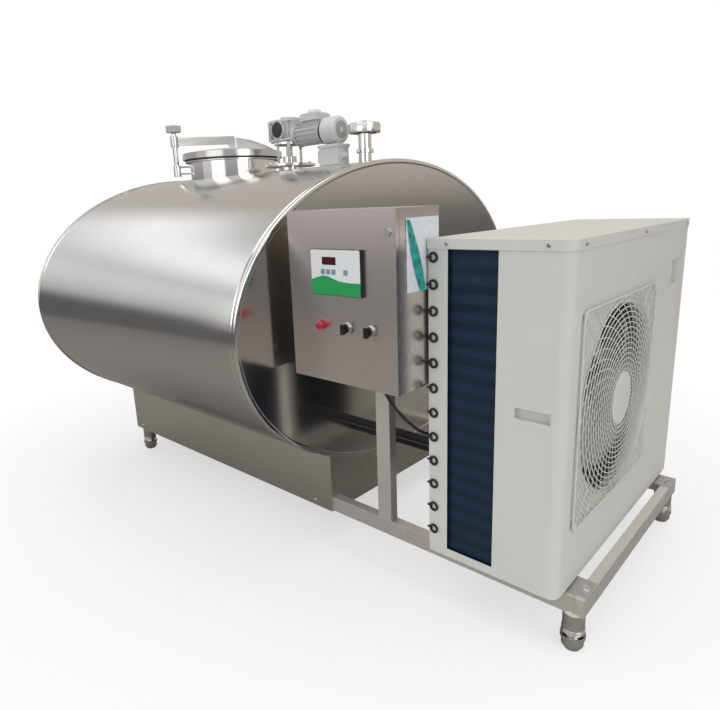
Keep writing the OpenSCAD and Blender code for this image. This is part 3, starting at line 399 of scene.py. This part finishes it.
def plate(work, lo, hi, edge):
    """Adds a block between two corners, with its edges rounded."""
    lo, hi = Vector(lo), Vector(hi)
    made = bmesh.ops.create_cube(work, size=1.0, matrix=Matrix.Translation((lo + hi) / 2) @
                                 Matrix.Diagonal((*(hi - lo), 1.0)))
    edges = {e for v in made["verts"] for e in v.link_edges}
    bmesh.ops.bevel(work, geom=list(edges), offset=edge, segments=2, affect="EDGES", profile=0.5)

def slab(points, along):
    """A flat outline, given a thickness along a direction."""
    work = bmesh.new()
    face = work.faces.new([work.verts.new(p) for p in points])
    grown = bmesh.ops.extrude_face_region(work, geom=[face])
    moved = [v for v in grown["geom"] if isinstance(v, bmesh.types.BMVert)]
    bmesh.ops.translate(work, vec=along, verts=moved)
    return work

print("makers: lathe, plate, slab")

# %% Wire
def wire(name, runs, radius, slot, body="root", stands_for=(), closed=False, sides=2):
    """Round stock along one or more runs of points."""
    curve = bpy.data.curves.new(name, "CURVE")
    curve.dimensions, curve.bevel_depth, curve.bevel_resolution = "3D", radius, sides
    curve.use_fill_caps = True
    for run in runs:
        spline = curve.splines.new("POLY")
        spline.points.add(len(run) - 1)
        spline.points.foreach_set("co", [c for p in run for c in (*p, 1.0)])
        spline.use_cyclic_u = closed
        spline.use_smooth = True
    return dress(bpy.data.objects.new(name, curve), slot, body, stands_for)

turns = [2 * math.pi * i / 96 for i in range(96)]
print("points round a wire ring:", len(turns))

# %% [markdown]
# ## The oval shell
# The packed shell is a many-sided prism. Brushed steel shows each flat as a stripe, so
# the sheet, its two ends and its rolled rims are redrawn on a fine ellipse that keeps
# the packed width and height. Smooth shading alone would hide the flats but not the
# corners of the outline.

# %% The oval
rim_lo, rim_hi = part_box("end_rims")
skin_lo, skin_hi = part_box("outer_shell")
half_y, half_z = skin_hi.y, (skin_hi.z - skin_lo.z) / 2
mid_z = (skin_hi.z + skin_lo.z) / 2

def sweep_oval(profile, steps=360):
    """Carries (x, distance outside the shell) points round the oval."""
    work = bmesh.new()
    rings = []
    for i in range(steps):
        t = 2 * math.pi * i / steps
        out = Vector((0, math.cos(t) / half_y, math.sin(t) / half_z)).normalized()
        base = Vector((0, half_y * math.cos(t), mid_z + half_z * math.sin(t)))
        rings.append([work.verts.new(base + out * n + Vector((x, 0, 0))) for x, n in profile])
    join_rings(work, rings)
    return work

print("oval", round(half_y, 4), round(half_z, 4), "length", round(rim_hi.x - rim_lo.x, 4))

# %% Shell sheet
turned_in = 0.002
spans = 60
sheet = [(skin_lo.x, -turned_in), (skin_lo.x, 0.0)]
sheet += [(skin_lo.x + (skin_hi.x - skin_lo.x) * i / spans, 0.0) for i in range(1, spans + 1)]
sheet += [(skin_hi.x, -turned_in)]
publish("shell_sheet", sweep_oval(sheet), "shell", stands_for=["outer_shell"])
print("shell sheet in", spans, "spans")

# %% End plates
def end_plate(x, bulge, steps=240, levels=14, inset=0.003):
    """A flat end with a shallow crown, drawn as rings that close on the middle."""
    work = bmesh.new()
    rings = []
    for level in range(levels):
        k = 1 - level / levels
        rise = bulge * (1 - k * k)
        angles = [2 * math.pi * i / steps for i in range(steps)]
        rings.append([work.verts.new((x + rise, (half_y - inset) * k * math.cos(t),
                                      mid_z + (half_z - inset) * k * math.sin(t))) for t in angles])
    join_rows(work, [ring + ring[:1] for ring in rings])
    tip = work.verts.new((x + bulge, 0, mid_z))
    for i in range(steps):
        work.faces.new((rings[-1][i], rings[-1][(i + 1) % steps], tip))
    return work

crown = 0.0005
publish("near_end_sheet", end_plate(skin_hi.x, crown), "end_sheet", stands_for=["end_plates"])
publish("far_end_sheet", end_plate(skin_lo.x, -crown), "end_sheet")
print("end plates crowned by", crown)

# %% Rolled rims
def rim(x, way):
    """A polished band round the shell, rolled over the end with a groove in it."""
    section = [(0.028, 0.0002), (0.028, 0.0022), (0.0265, 0.0026), (0.0185, 0.0026),
               (0.0172, 0.0012), (0.0158, 0.0012), (0.0145, 0.0026), (0.0040, 0.0026),
               (0.0012, 0.0016), (0.0, -0.0010), (0.0, -0.0120), (0.0010, -0.0165), (0.0024, -0.0180)]
    return [(x - way * back, out) for back, out in section]

for name, x, way, stands_for in (("near_rim", rim_hi.x, 1, ["end_rims"]), ("far_rim", rim_lo.x, -1, [])):
    publish(name, sweep_oval(rim(x, way)), "polished", stands_for=stands_for, smooth=50)
print("rims at", round(rim_lo.x, 4), round(rim_hi.x, 4))

# %% [markdown]
# ## Everything that keeps its packed shape
# Tubes, castings, sheet panels and feet are right as packed and only need rounded
# corners. Drawing each again would risk its size, so they are done in one pass, with a
# wider round on cast pieces and folded sheet.

# %% Rounded copies
rebuilt = {"outer_shell", "end_plates", "end_rims", "fan_guard", "condenser_fan", "unit_cable",
           "refrigerant_pipes", "condenser_coil"} | set(hidden_inside)
wide = {"gearbox": 0.003, "motor_body": 0.001, "terminal_box": 0.003, "junction_box": 0.002,
        "fan_cowl": 0.0, "control_box": 0.0022, "box_door": 0.0028, "top_cover": 0.0015}
for node in sorted(slot_of):
    if node not in rebuilt:
        soften(node, wide.get(node, 0.0007))
print("rounded", len(slot_of) - len(rebuilt))

# %% [markdown]
# ## The condensing unit's fan
# The guard is round wire: rings tied by curved spokes, held in a square. Wires this
# thin are drawn as curves with a round section, which stay round however close one
# looks. The blades are pressed sheet, wider at the tip and pitched less there, so they
# are drawn as a grid of points and thickened by a modifier.

# %% Places on the guard
guard_lo, guard_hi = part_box("fan_guard")
blade_lo, blade_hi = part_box("condenser_fan")
hub_y, hub_z = (blade_lo.y + blade_hi.y) / 2, (blade_lo.z + blade_hi.z) / 2
wire_x = guard_hi.x - 0.0035
reach = (guard_hi.y - guard_lo.y) / 2 - 0.008
sag, dome = 0.012, 0.010
guard_wire_r = 0.0015

def on_guard(r, t, x=0.0):
    return (wire_x + x, hub_y + r * math.cos(t), hub_z + r * math.sin(t))

print("guard half width", round(reach, 4))

# %% Rings and spokes of the guard
ring_first, ring_pitch, ring_count = 0.0865, 0.0148, 15
rings = [[on_guard(ring_first + ring_pitch * k, t, -dome * (k / (ring_count - 1)) ** 3) for t in turns]
         for k in range(ring_count)]
wire("guard_rings", rings, 0.0016, "guard_wire", stands_for=["fan_guard"], closed=True)
spoke_count, spoke_parts = 40, 12
spoke_in, spoke_long, spoke_twist = 0.074, 0.220, 0.62
spokes = []
for i in range(spoke_count):
    start = 2 * math.pi * i / spoke_count
    shares = [k / spoke_parts for k in range(spoke_parts + 1)]
    spokes.append([on_guard(spoke_in + spoke_long * u, start + spoke_twist * u ** 1.4,
                            -0.002 - dome * u ** 3) for u in shares])
wire("guard_spokes", spokes, guard_wire_r, "guard_wire")
print("rings", len(rings), "spokes", len(spokes))

# %% Corners of the guard
corners = []
fine_turns = [2 * math.pi * i / 720 for i in range(720)]
for k in range(7):
    r = ring_first + ring_pitch * (ring_count + k)
    inside = [t for t in fine_turns
              if max(abs(r * math.cos(t)), abs(r * math.sin(t))) < reach]
    for quarter in range(4):
        run = [on_guard(r, t, -sag) for t in inside
               if quarter * math.pi / 2 <= t < (quarter + 1) * math.pi / 2]
        if len(run) > 2:
            corners.append(run)
for quarter in range(4):
    for lean in (-0.16, 0.0, 0.16):
        t = math.pi / 4 + quarter * math.pi / 2 + lean
        end = reach / max(abs(math.cos(t)), abs(math.sin(t)))
        corners.append([on_guard(spoke_in + spoke_long - 0.002, t, -sag), on_guard(end, t, -sag)])
wire("guard_corners", corners, guard_wire_r, "guard_wire")
corner_r = 0.02
border = []
for k, (way_y, way_z) in enumerate(((1, 1), (-1, 1), (-1, -1), (1, -1))):
    centre = (hub_y + way_y * (reach - corner_r), hub_z + way_z * (reach - corner_r))
    border += [(wire_x - sag, y, z) for y, z in arc(*centre, corner_r, range(90 * k, 90 * k + 91, 15))]
wire("guard_border", [border], 0.003, "guard_wire", closed=True)
print("corner wires", len(corners))

# %% Hub and pads of the guard
cap = [(0, 0.0), (0.030, -0.0002), (0.055, -0.0010), (0.070, -0.0028),
       (0.077, -0.0055), (0.080, -0.0095), (0.078, -0.0115)]
publish("guard_hub", lathe(cap, (guard_hi.x, hub_y, hub_z), "X", 72), "guard_wire")
pad_half = 0.009
pads = bmesh.new()
for way_y in (-1, 1):
    for way_z in (-1, 1):
        y, z = hub_y + way_y * (reach - 0.012), hub_z + way_z * (reach - 0.012)
        plate(pads, (guard_lo.x, y - pad_half, z - pad_half),
              (wire_x - 0.008, y + pad_half, z + pad_half), 0.002)
publish("guard_pads", pads, "guard_wire")
print("hub across", 2 * max(r for r, h in cap))

# %% Fan blades
hub_r, tip_r = 0.058, (blade_hi.y - blade_lo.y) / 2
clear = 0.004
blade_depth = blade_hi.x - blade_lo.x - 2 * clear
across, along = 12, 14

def blade_point(k, u, v):
    """u runs from hub to tip and v across the blade, both from 0 to 1."""
    t = math.radians(90 * k + 26 * u * u) + math.radians(52 + 10 * u) * (v - 0.5)
    x = blade_lo.x + clear + blade_depth * (1 - 0.25 * u) * (v + 0.12 * math.sin(math.pi * v))
    r = hub_r + (tip_r - hub_r) * u - 0.02 * (max(0, u - 0.8) / 0.2) * abs(2 * v - 1) ** 3
    return (min(x, blade_hi.x - 0.002), hub_y + r * math.cos(t), hub_z + r * math.sin(t))

fan = bmesh.new()
for k in range(4):
    join_rows(fan, [[fan.verts.new(blade_point(k, i / along, j / across)) for j in range(across + 1)]
                    for i in range(along + 1)])
blades = publish("fan_blades", fan, "blade", body_of["condenser_fan"], ["condenser_fan"], smooth=60)
thick = blades.modifiers.new("sheet", "SOLIDIFY")
thick.thickness, thick.offset = 0.0022, 0.0
nose = [(0, 0.056), (0.030, 0.055), (0.050, 0.050), (0.0585, 0.040),
        (0.060, 0.030), (0.060, 0.002), (0.050, 0.002), (0, 0.002)]
publish("fan_hub", lathe(nose, (blade_lo.x, hub_y, hub_z), "X", 64), "blade", body_of["condenser_fan"])
print("fan across", round(2 * tip_r, 3))

# %% [markdown]
# ## The agitator's drive
# The gear housing is a ribbed casting with a round bearing cover in black, ringed by
# cap screws. Between the motor's fins and its cowl sits a dark end shield, and the
# cowl's end is a grille. They are real relief, not paint, so they catch the light.

# %% Cover, ribs and cap screws
gear_lo, gear_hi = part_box("gearbox")
gear_mid = (gear_lo.z + gear_hi.z) / 2
cover_x = (gear_lo.x + gear_hi.x) / 2 - 0.012
dish = [(0.0, 0.0026), (0.020, 0.0026), (0.0215, 0.0012), (0.0285, 0.0012),
        (0.0312, 0.0004), (0.0325, -0.0030)]
publish("bearing_cover", lathe(dish, (cover_x, gear_lo.y, gear_mid), "-Y", 64), "motor_black")
towards_y = Matrix.Rotation(math.radians(90), 4, "X")
screws = bmesh.new()
for x, z in arc(cover_x, gear_mid, 0.0365, range(30, 390, 60)):
    bmesh.ops.create_cone(screws, cap_ends=True, segments=12, radius1=0.0034, radius2=0.0030, depth=0.005,
                          matrix=Matrix.Translation((x, gear_lo.y + 0.0035, z)) @ towards_y)
publish("cover_screws", screws, "bolt")
rib_half = 0.0013
ribs = bmesh.new()
for lean in (-1, 1):
    for k in range(3):
        x = cover_x + lean * (0.046 + 0.008 * k)
        if gear_lo.x + 0.004 < x < gear_hi.x - 0.004:
            plate(ribs, (x - rib_half, gear_lo.y + 0.0012, gear_lo.z + 0.014),
                  (x + rib_half, gear_lo.y + 0.018, gear_hi.z - 0.024), 0.0008)
publish("gear_ribs", ribs, "gear_cast")
print("cover at", round(cover_x, 3), round(gear_mid, 3))

# %% End shield and cowl grille
motor_lo, motor_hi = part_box("motor_body")
motor_y = (motor_lo.y + motor_hi.y) / 2
motor_z = motor_hi.z - (motor_hi.y - motor_lo.y) / 2
turned = motor_hi.z - motor_z
band = [(turned - 0.001, -0.0165), (turned + 0.0006, -0.0160),
        (turned + 0.0006, -0.0004), (turned - 0.001, 0.0)]
publish("end_shield", lathe(band, (motor_hi.x - 0.0082, motor_y, motor_z), "X", 72), "motor_black")
cowl_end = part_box("fan_cowl")[1].x - 0.0004
grille = [[(cowl_end, motor_y + r * math.cos(t), motor_z + r * math.sin(t)) for t in turns]
          for r in (0.012, 0.017, 0.022, 0.027, 0.032)]
wire("cowl_grille", grille, 0.0011, "motor_black", closed=True, sides=1)
print("grille rings", len(grille))

# %% [markdown]
# ## The controller's face
# The controller is a moulded case with a printed sheet on its front: white above, a
# green wave below, a dark red window and four soft keys. One material with masks could
# carry all the colours. Thin layers cut to shape keep their edges crisp at any size,
# so each colour is its own layer. It has no lettering.

# %% Inks of the printed face
def ink(name, colour, roughness, **fixed):
    """A printed colour with the faint grain of its sheet."""
    made = Finish(name, colour, roughness, **fixed)
    made.feed("Roughness", made.noise(60.0, 2.0).ramp(0.3, 0.7, roughness - 0.04, roughness + 0.06))
    made.bump(made.noise(2400.0, 1.0), 0.00001, 0.3)
    finishes[name] = made

ink("face_white", (0.74, 0.76, 0.78), 0.38)
ink("face_green", (0.012, 0.33, 0.085), 0.36)
ink("face_window", (0.055, 0.006, 0.012), 0.12, Coat_Weight=0.5)
ink("face_key", (0.19, 0.29, 0.33), 0.40)
print("inks:", [name for name in finishes if name.startswith("face_")])

# %% Layers of the face
face_lo, face_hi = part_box("controller")
face_w, face_h = face_hi.x - face_lo.x, face_hi.z - face_lo.z

def on_face(name, outline, colour, front, thick=0.0008):
    """A layer whose outline is given in shares of the face's width and height."""
    points = [(face_lo.x + u * face_w, face_lo.y - front, face_lo.z + v * face_h) for u, v in outline]
    publish(name, slab(points, (0, thick, 0)), colour, "door")

def rounded(u0, v0, u1, v1, r):
    """A rectangle with round corners, in the same shares."""
    ru, rv = r, r * face_w / face_h
    middles = [(u1 - ru, v1 - rv, 0), (u0 + ru, v1 - rv, 90),
               (u0 + ru, v0 + rv, 180), (u1 - ru, v0 + rv, 270)]
    return [(cu + ru * math.cos(math.radians(t + d)), cv + rv * math.sin(math.radians(t + d)))
            for cu, cv, t in middles for d in range(0, 91, 18)]

def crest(u):
    """Height of the green wave: a low level with one round swell in it."""
    return 0.30 + 0.125 * math.exp(-((u - 0.28) / 0.235) ** 2)

on_face("face_white", rounded(0.008, 0.012, 0.992, 0.988, 0.02), "face_white", 0.0004)
wave = [(0.008, 0.03), (0.03, 0.012), (0.97, 0.012), (0.992, 0.03), (0.992, 0.30)]
wave += [(1 - k / 24, crest(1 - k / 24)) for k in range(1, 24)]
wave += [(0.008, 0.335)]
on_face("face_green", wave, "face_green", 0.0007)
on_face("face_window", rounded(0.245, 0.665, 0.525, 0.835, 0.012), "face_window", 0.0009)
key_half = 0.041
for k, u in enumerate((0.255, 0.365, 0.475, 0.715)):
    on_face("face_key_%d" % k, rounded(u - key_half, 0.455, u + key_half, 0.57, 0.016),
            "face_key", 0.0012, 0.0012)
print("controller face", round(face_w, 3), "by", round(face_h, 3))

# %% [markdown]
# ## Protective film
# The box was shipped under plastic film. Some of it still clings to the side that faces
# the unit: a wrinkled white sheet, with a blue-green strip that has curled away. Cloth
# simulation would need something to peel, so the creases are crossed sine waves, and
# the curl is one half wave across the strip.

# %% Inks of the film
ink("film_white", (0.72, 0.76, 0.80), 0.30, Coat_Weight=0.3)
strip = Finish("film_strip", (0.012, 0.44, 0.36), 0.22, Coat_Weight=0.5)
strip.tint(strip.noise(38.0, 4.0).ramp(0.42, 0.62), (0.004, 0.17, 0.19))
strip.feed("Roughness", strip.noise(120.0, 2.0).ramp(0.3, 0.7, 0.15, 0.35))
strip.bump(strip.noise(150.0), 0.0016, 0.9)
finishes["film_strip"] = strip
print("film colours:", finishes["film_white"].colour[:3], strip.colour[:3])

# %% Film on the box's side
box_lo, box_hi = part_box("control_box")

def crease(u, v):
    return math.sin(31 * u + 9 * v) * math.sin(23 * v - 5 * u) + 0.5 * math.sin(61 * (u - v))

def film(name, colour, at, size=36):
    """A creased sheet: at(u, v) gives its x, y and z from the box's front top corner."""
    work = bmesh.new()
    corner = Vector((box_hi.x, box_lo.y, box_hi.z))
    join_rows(work, [[work.verts.new(corner + Vector(at(i / size, j / size))) for j in range(size + 1)]
                     for i in range(size + 1)])
    publish(name, work, colour, smooth=80)

def sheet_at(u, v):
    return (0.0012 + 0.0005 * crease(u, v), 0.028 + 0.152 * u, -0.028 - 0.198 * v)

def strip_at(u, v):
    curl = 0.0055 * math.sin(math.pi * u) * (0.4 + 0.6 * v)
    width = 0.012 + 0.026 * math.sin(2.6 * v)
    return (0.0032 + curl + 0.0006 * crease(u, v), 0.036 + 0.064 * v + (u - 0.5) * width, -0.033 - 0.194 * v)

film("film_sheet", "film_white", sheet_at)
film("film_strip", "film_strip", strip_at)
print("film on the side at", round(box_hi.x, 4))

# %% [markdown]
# ## Welds, caps and collars
# The frame is tube welded by hand. A bead is a thin wire with a ripple in it, laid where
# two tubes meet: a bump in the material could not stand out from a corner. The end bar
# is closed by pressed caps, and each foot's stem and socket carry polished collars.

# %% Beads
def bead(points, step=0.0028, ripple=0.0005):
    """Points along a seam, every second one lifted by the ripple."""
    line = []
    for a, b in zip(points, points[1:]):
        a, b = Vector(a), Vector(b)
        count = max(2, int((b - a).length / step))
        line += [a.lerp(b, k / count) + Vector((0, 0, ripple * (k % 2))) for k in range(count + 1)]
    return line

post_lo, post_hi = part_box("box_post")
rail_lo, rail_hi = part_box("base_rails")
rail_w = post_hi.y - post_lo.y
seat = post_lo.z
welds = [bead([(post_lo.x, post_lo.y, seat), (post_hi.x, post_lo.y, seat)]),
         bead([(post_lo.x, post_lo.y, seat), (post_lo.x, post_hi.y, seat)]),
         bead([(post_hi.x, post_lo.y, seat), (post_hi.x, post_hi.y, seat)])]
for way, y in ((1, rail_lo.y), (-1, rail_hi.y)):
    inner = y + way * rail_w
    welds += [bead([(rail_hi.x, y, rail_hi.z), (rail_hi.x, inner, rail_hi.z)]),
              bead([(rail_hi.x, inner, rail_hi.z), (rail_hi.x, inner, rail_lo.z)])]
wire("weld_beads", welds, 0.0016, "bolt")
print("beads", len(welds))

# %% Tube caps
bar_w = cad_hi.x - rail_hi.x
wall, cap_half = 0.0032, 0.0009
caps = bmesh.new()
for y in (rail_lo.y + 0.0012, rail_hi.y - 0.0012):
    plate(caps, (rail_hi.x + wall, y - cap_half, rail_lo.z + wall),
          (rail_hi.x + bar_w - wall, y + cap_half, rail_hi.z - wall), 0.0004)
publish("bar_caps", caps, "frame_steel")
print("bar", round(bar_w, 3), "wide")

# %% Socket rings
collar_heights = (0.0545, 0.0600, 0.0655, rail_lo.z - 0.0012)
collar_radii = (0.0302, 0.0302, 0.0302, 0.0306)
collars = []
for node in ("left_outlet_foot", "right_outlet_foot", "left_unit_foot", "right_unit_foot"):
    foot_lo, foot_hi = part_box(node)
    cx, cy = (foot_lo.x + foot_hi.x) / 2, (foot_lo.y + foot_hi.y) / 2
    for z, r in zip(collar_heights, collar_radii):
        collars.append([(cx + r * math.cos(t), cy + r * math.sin(t), z) for t in turns[::2]])
wire("socket_rings", collars, 0.0014, "polished", closed=True, sides=1)
print("socket rings", len(collars))

# %% [markdown]
# ## Cable and lagged pipes
# One black cable leaves the gland under the control box, hangs down and runs along the
# back of the coil into the unit. Its points are listed one by one, the same as in the
# part's own source, so its length is the same. The two refrigerant pipes wear thick foam
# lagging and turn in wide bends, which one round wire does better than a mesh.

# %% Cable
route = [(0, 0, 0), (0, 0, -24), (5, 3, -46), (18, 8, -70), (38, 15, -98), (64, 24, -126),
         (92, 34, -150), (116, 48, -166), (134, 70, -176), (145, 100, -182), (150, 140, -186),
         (151, 190, -189), (151, 300, -194), (151, 420, -196), (151, 560, -196), (151, 700, -194),
         (151.5, 712, -194), (153.5, 722, -194), (157, 729, -194), (162, 734, -194), (167, 735, -194),
         (171.8, 735, -194)]
leave = Vector((0.6455, -0.5155, box_lo.z - 0.012))
path = [leave + Vector(point) / 1000 for point in route]
cable = wire("box_cable", [path], 0.005, "cable", stands_for=["unit_cable"], sides=4)
run = sum((b - a).length for a, b in zip(path, path[1:]))
gland = [(0, 0.0), (0.0087, 0.0), (0.0087, 0.0095), (0.013, 0.0105), (0.013, 0.0142), (0.0, 0.0142)]
publish("cable_gland", lathe(gland, (leave.x, leave.y, leave.z - 0.002), steps=6), "cable")
print("cable", round(run, 3), "m")

# %% Lagged pipes
unit_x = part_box("unit_panels")[0].x
run_x, inlet_y, pipe_bend = unit_x - 0.042, 0.2298, 0.040

def lagging(name, y, z, radius, stands_for=()):
    """Out of the tank's end, round one bend, across, round another and into the unit."""
    turn_out = arc(run_x - pipe_bend, y + pipe_bend, pipe_bend, range(-90, 1, 10))
    turn_in = arc(run_x + pipe_bend, inlet_y - pipe_bend, pipe_bend, range(180, 89, -10))
    line = [(rim_hi.x - 0.001, y), *turn_out, *turn_in, (unit_x - 0.0002, inlet_y)]
    wire(name, [[(px, py, z) for px, py in line]], radius, "pipe_wrap", stands_for=stands_for, sides=6)

lagging("lagging_0", -0.330, 0.441, 0.015, ["refrigerant_pipes"])
lagging("lagging_1", -0.316, 0.405, 0.009)
print("pipes run at x", round(run_x, 3))

# %% Finned coil with a round corner
coil_lo, coil_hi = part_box("condenser_coil")
coil_depth, coil_bend = 0.036, 0.046
middle = (coil_lo.x + coil_bend, coil_lo.y + coil_bend)
outline = [(coil_lo.x, coil_hi.y), *arc(*middle, coil_bend, range(180, 271, 6)),
           (coil_hi.x, coil_lo.y), (coil_hi.x, coil_lo.y + coil_depth),
           *arc(*middle, coil_bend - coil_depth, range(270, 179, -6)), (coil_lo.x + coil_depth, coil_hi.y)]
block = slab([(x, y, coil_lo.z) for x, y in outline], (0, 0, coil_hi.z - coil_lo.z))
publish("coil_fins", block, "coil", stands_for=["condenser_coil"])
print("coil height", round(coil_hi.z - coil_lo.z, 3))

# %% [markdown]
# ## Floor and light
# A pale floor and a pale surround stand in for a studio. Polished metal only looks like
# metal when it has something to mirror, so the surround is brighter above than at the
# horizon, and soft panels all round give the shell its long bands. A plain white
# surround would leave the steel flat and grey. The floor is darker to reflections than
# to the eye, which stands in for the shade that a real room has under a tank.

# %% Floor
floor_r = 5.2
disc = bmesh.new()
bmesh.ops.create_circle(disc, cap_ends=True, segments=128, radius=floor_r)
floor_data = bpy.data.meshes.new("floor")
disc.to_mesh(floor_data)
disc.free()
floor = bpy.data.objects.new("floor", floor_data)
bpy.context.scene.collection.objects.link(floor)
floor.location.z = cad_lo.z - 0.0005
print("floor across", 2 * floor_r)

# %% The floor's finish
ground = Finish("floor", (0.94, 0.94, 0.94), 0.8)
spread = ground.add("VectorMath", {"operation": "LENGTH"}, {0: ground.place()}, out=1)
direct = ground.add("LightPath", out="Is Camera Ray")
mirrored = direct.sibling("Is Glossy Ray")
dusk = ground.add("BsdfDiffuse", inputs={"Color": (0.31, 0.30, 0.285, 1)})
glow = ground.add("Emission", inputs={"Color": (1, 1, 1, 1), "Strength": 1.0})
near = ground.add("MixShader", inputs={0: mirrored, 1: Value(ground, ground.shader.outputs[0]), 2: dusk})
ground.surface("Material Output", ground.add("MixShader", inputs={
    0: spread.ramp(1.1, 2.5, 0.6, 1.0) * direct, 1: near, 2: glow}))
floor_data.materials.append(ground.material)
print("floor colour", ground.colour[:3])

# %% Surround
world = bpy.data.worlds.new("surround")
bpy.context.scene.world = world
world.use_nodes = True
air = Tree(world.node_tree)
side = air.add("SeparateXYZ", inputs={0: air.add("TexCoord", out="Generated")}, out="Y")
height = side.sibling("Z")
stops = [(0.0, (0.16, 0.155, 0.15)), (0.495, (0.12, 0.12, 0.135)), (0.510, (0.17, 0.17, 0.175)),
         (0.522, (0.27, 0.27, 0.27)), (0.548, (0.56, 0.57, 0.56)), (0.60, (0.76, 0.77, 0.76)),
         (0.645, (0.83, 0.84, 0.83)), (0.672, (0.68, 0.69, 0.68)), (0.70, (0.88, 0.89, 0.89)),
         (0.725, (1.12, 1.14, 1.15)), (0.748, (1.28, 1.30, 1.32)), (0.775, (1.20, 1.21, 1.23)),
         (0.815, (0.68, 0.67, 0.66)), (0.84, (0.52, 0.505, 0.48)), (1.0, (0.44, 0.425, 0.40))]
bands = air.add("ValToRGB", inputs={0: height.ramp(-1.0, 1.0)})
elements = bands.socket.node.color_ramp.elements
while len(elements) < len(stops):
    elements.new(0.5)
for element, (at, colour) in zip(elements, stops):
    element.position, element.color = at, (*colour, 1.0)
warm = air.mix(height.ramp(-0.02, 0.05), (0.12, 0.115, 0.11, 1), (0.56, 0.52, 0.48, 1))
sky = air.nodes["Background"]
air.links.new(air.mix(side.ramp(0.10, 0.27), bands, warm).socket, sky.inputs["Color"])
plain = air.add("Background", inputs={"Color": (1, 1, 1, 1)})
air.surface("World Output", air.add("MixShader", inputs={
    0: air.add("LightPath", out="Is Camera Ray"), 1: Value(air, sky.outputs[0]), 2: plain}))
print("bands in the surround:", len(stops))

# %% Soft panels
def panel(name, at, aim, size, power, colour=(1, 1, 1)):
    """A soft box at one point, aimed at another."""
    lamp = bpy.data.lights.new(name, "AREA")
    lamp.shape, lamp.size, lamp.size_y = "RECTANGLE", *size
    lamp.energy, lamp.color = power, colour
    holder = bpy.data.objects.new(name, lamp)
    bpy.context.scene.collection.objects.link(holder)
    holder.location = at
    holder.rotation_euler = (Vector(aim) - Vector(at)).to_track_quat("-Z", "Y").to_euler()

panel("overhead", (0.4, -0.6, 4.6), (0.2, -0.2, 0.6), (4.2, 3.0), 70)
panel("front_left", (0.4, -4.6, 2.2), (0.6, 0.0, 0.7), (3.4, 1.6), 17)
panel("box_fill", (-2.0, -3.5, 1.45), (0.6, -0.65, 0.96), (1.7, 1.3), 2.0, (1.0, 0.90, 0.89))
panel("front_right", (4.6, -1.2, 2.4), (0.8, 0.0, 0.7), (2.6, 2.2), 34)
bpy.context.scene.view_settings.view_transform = "Standard"

# %% [markdown]
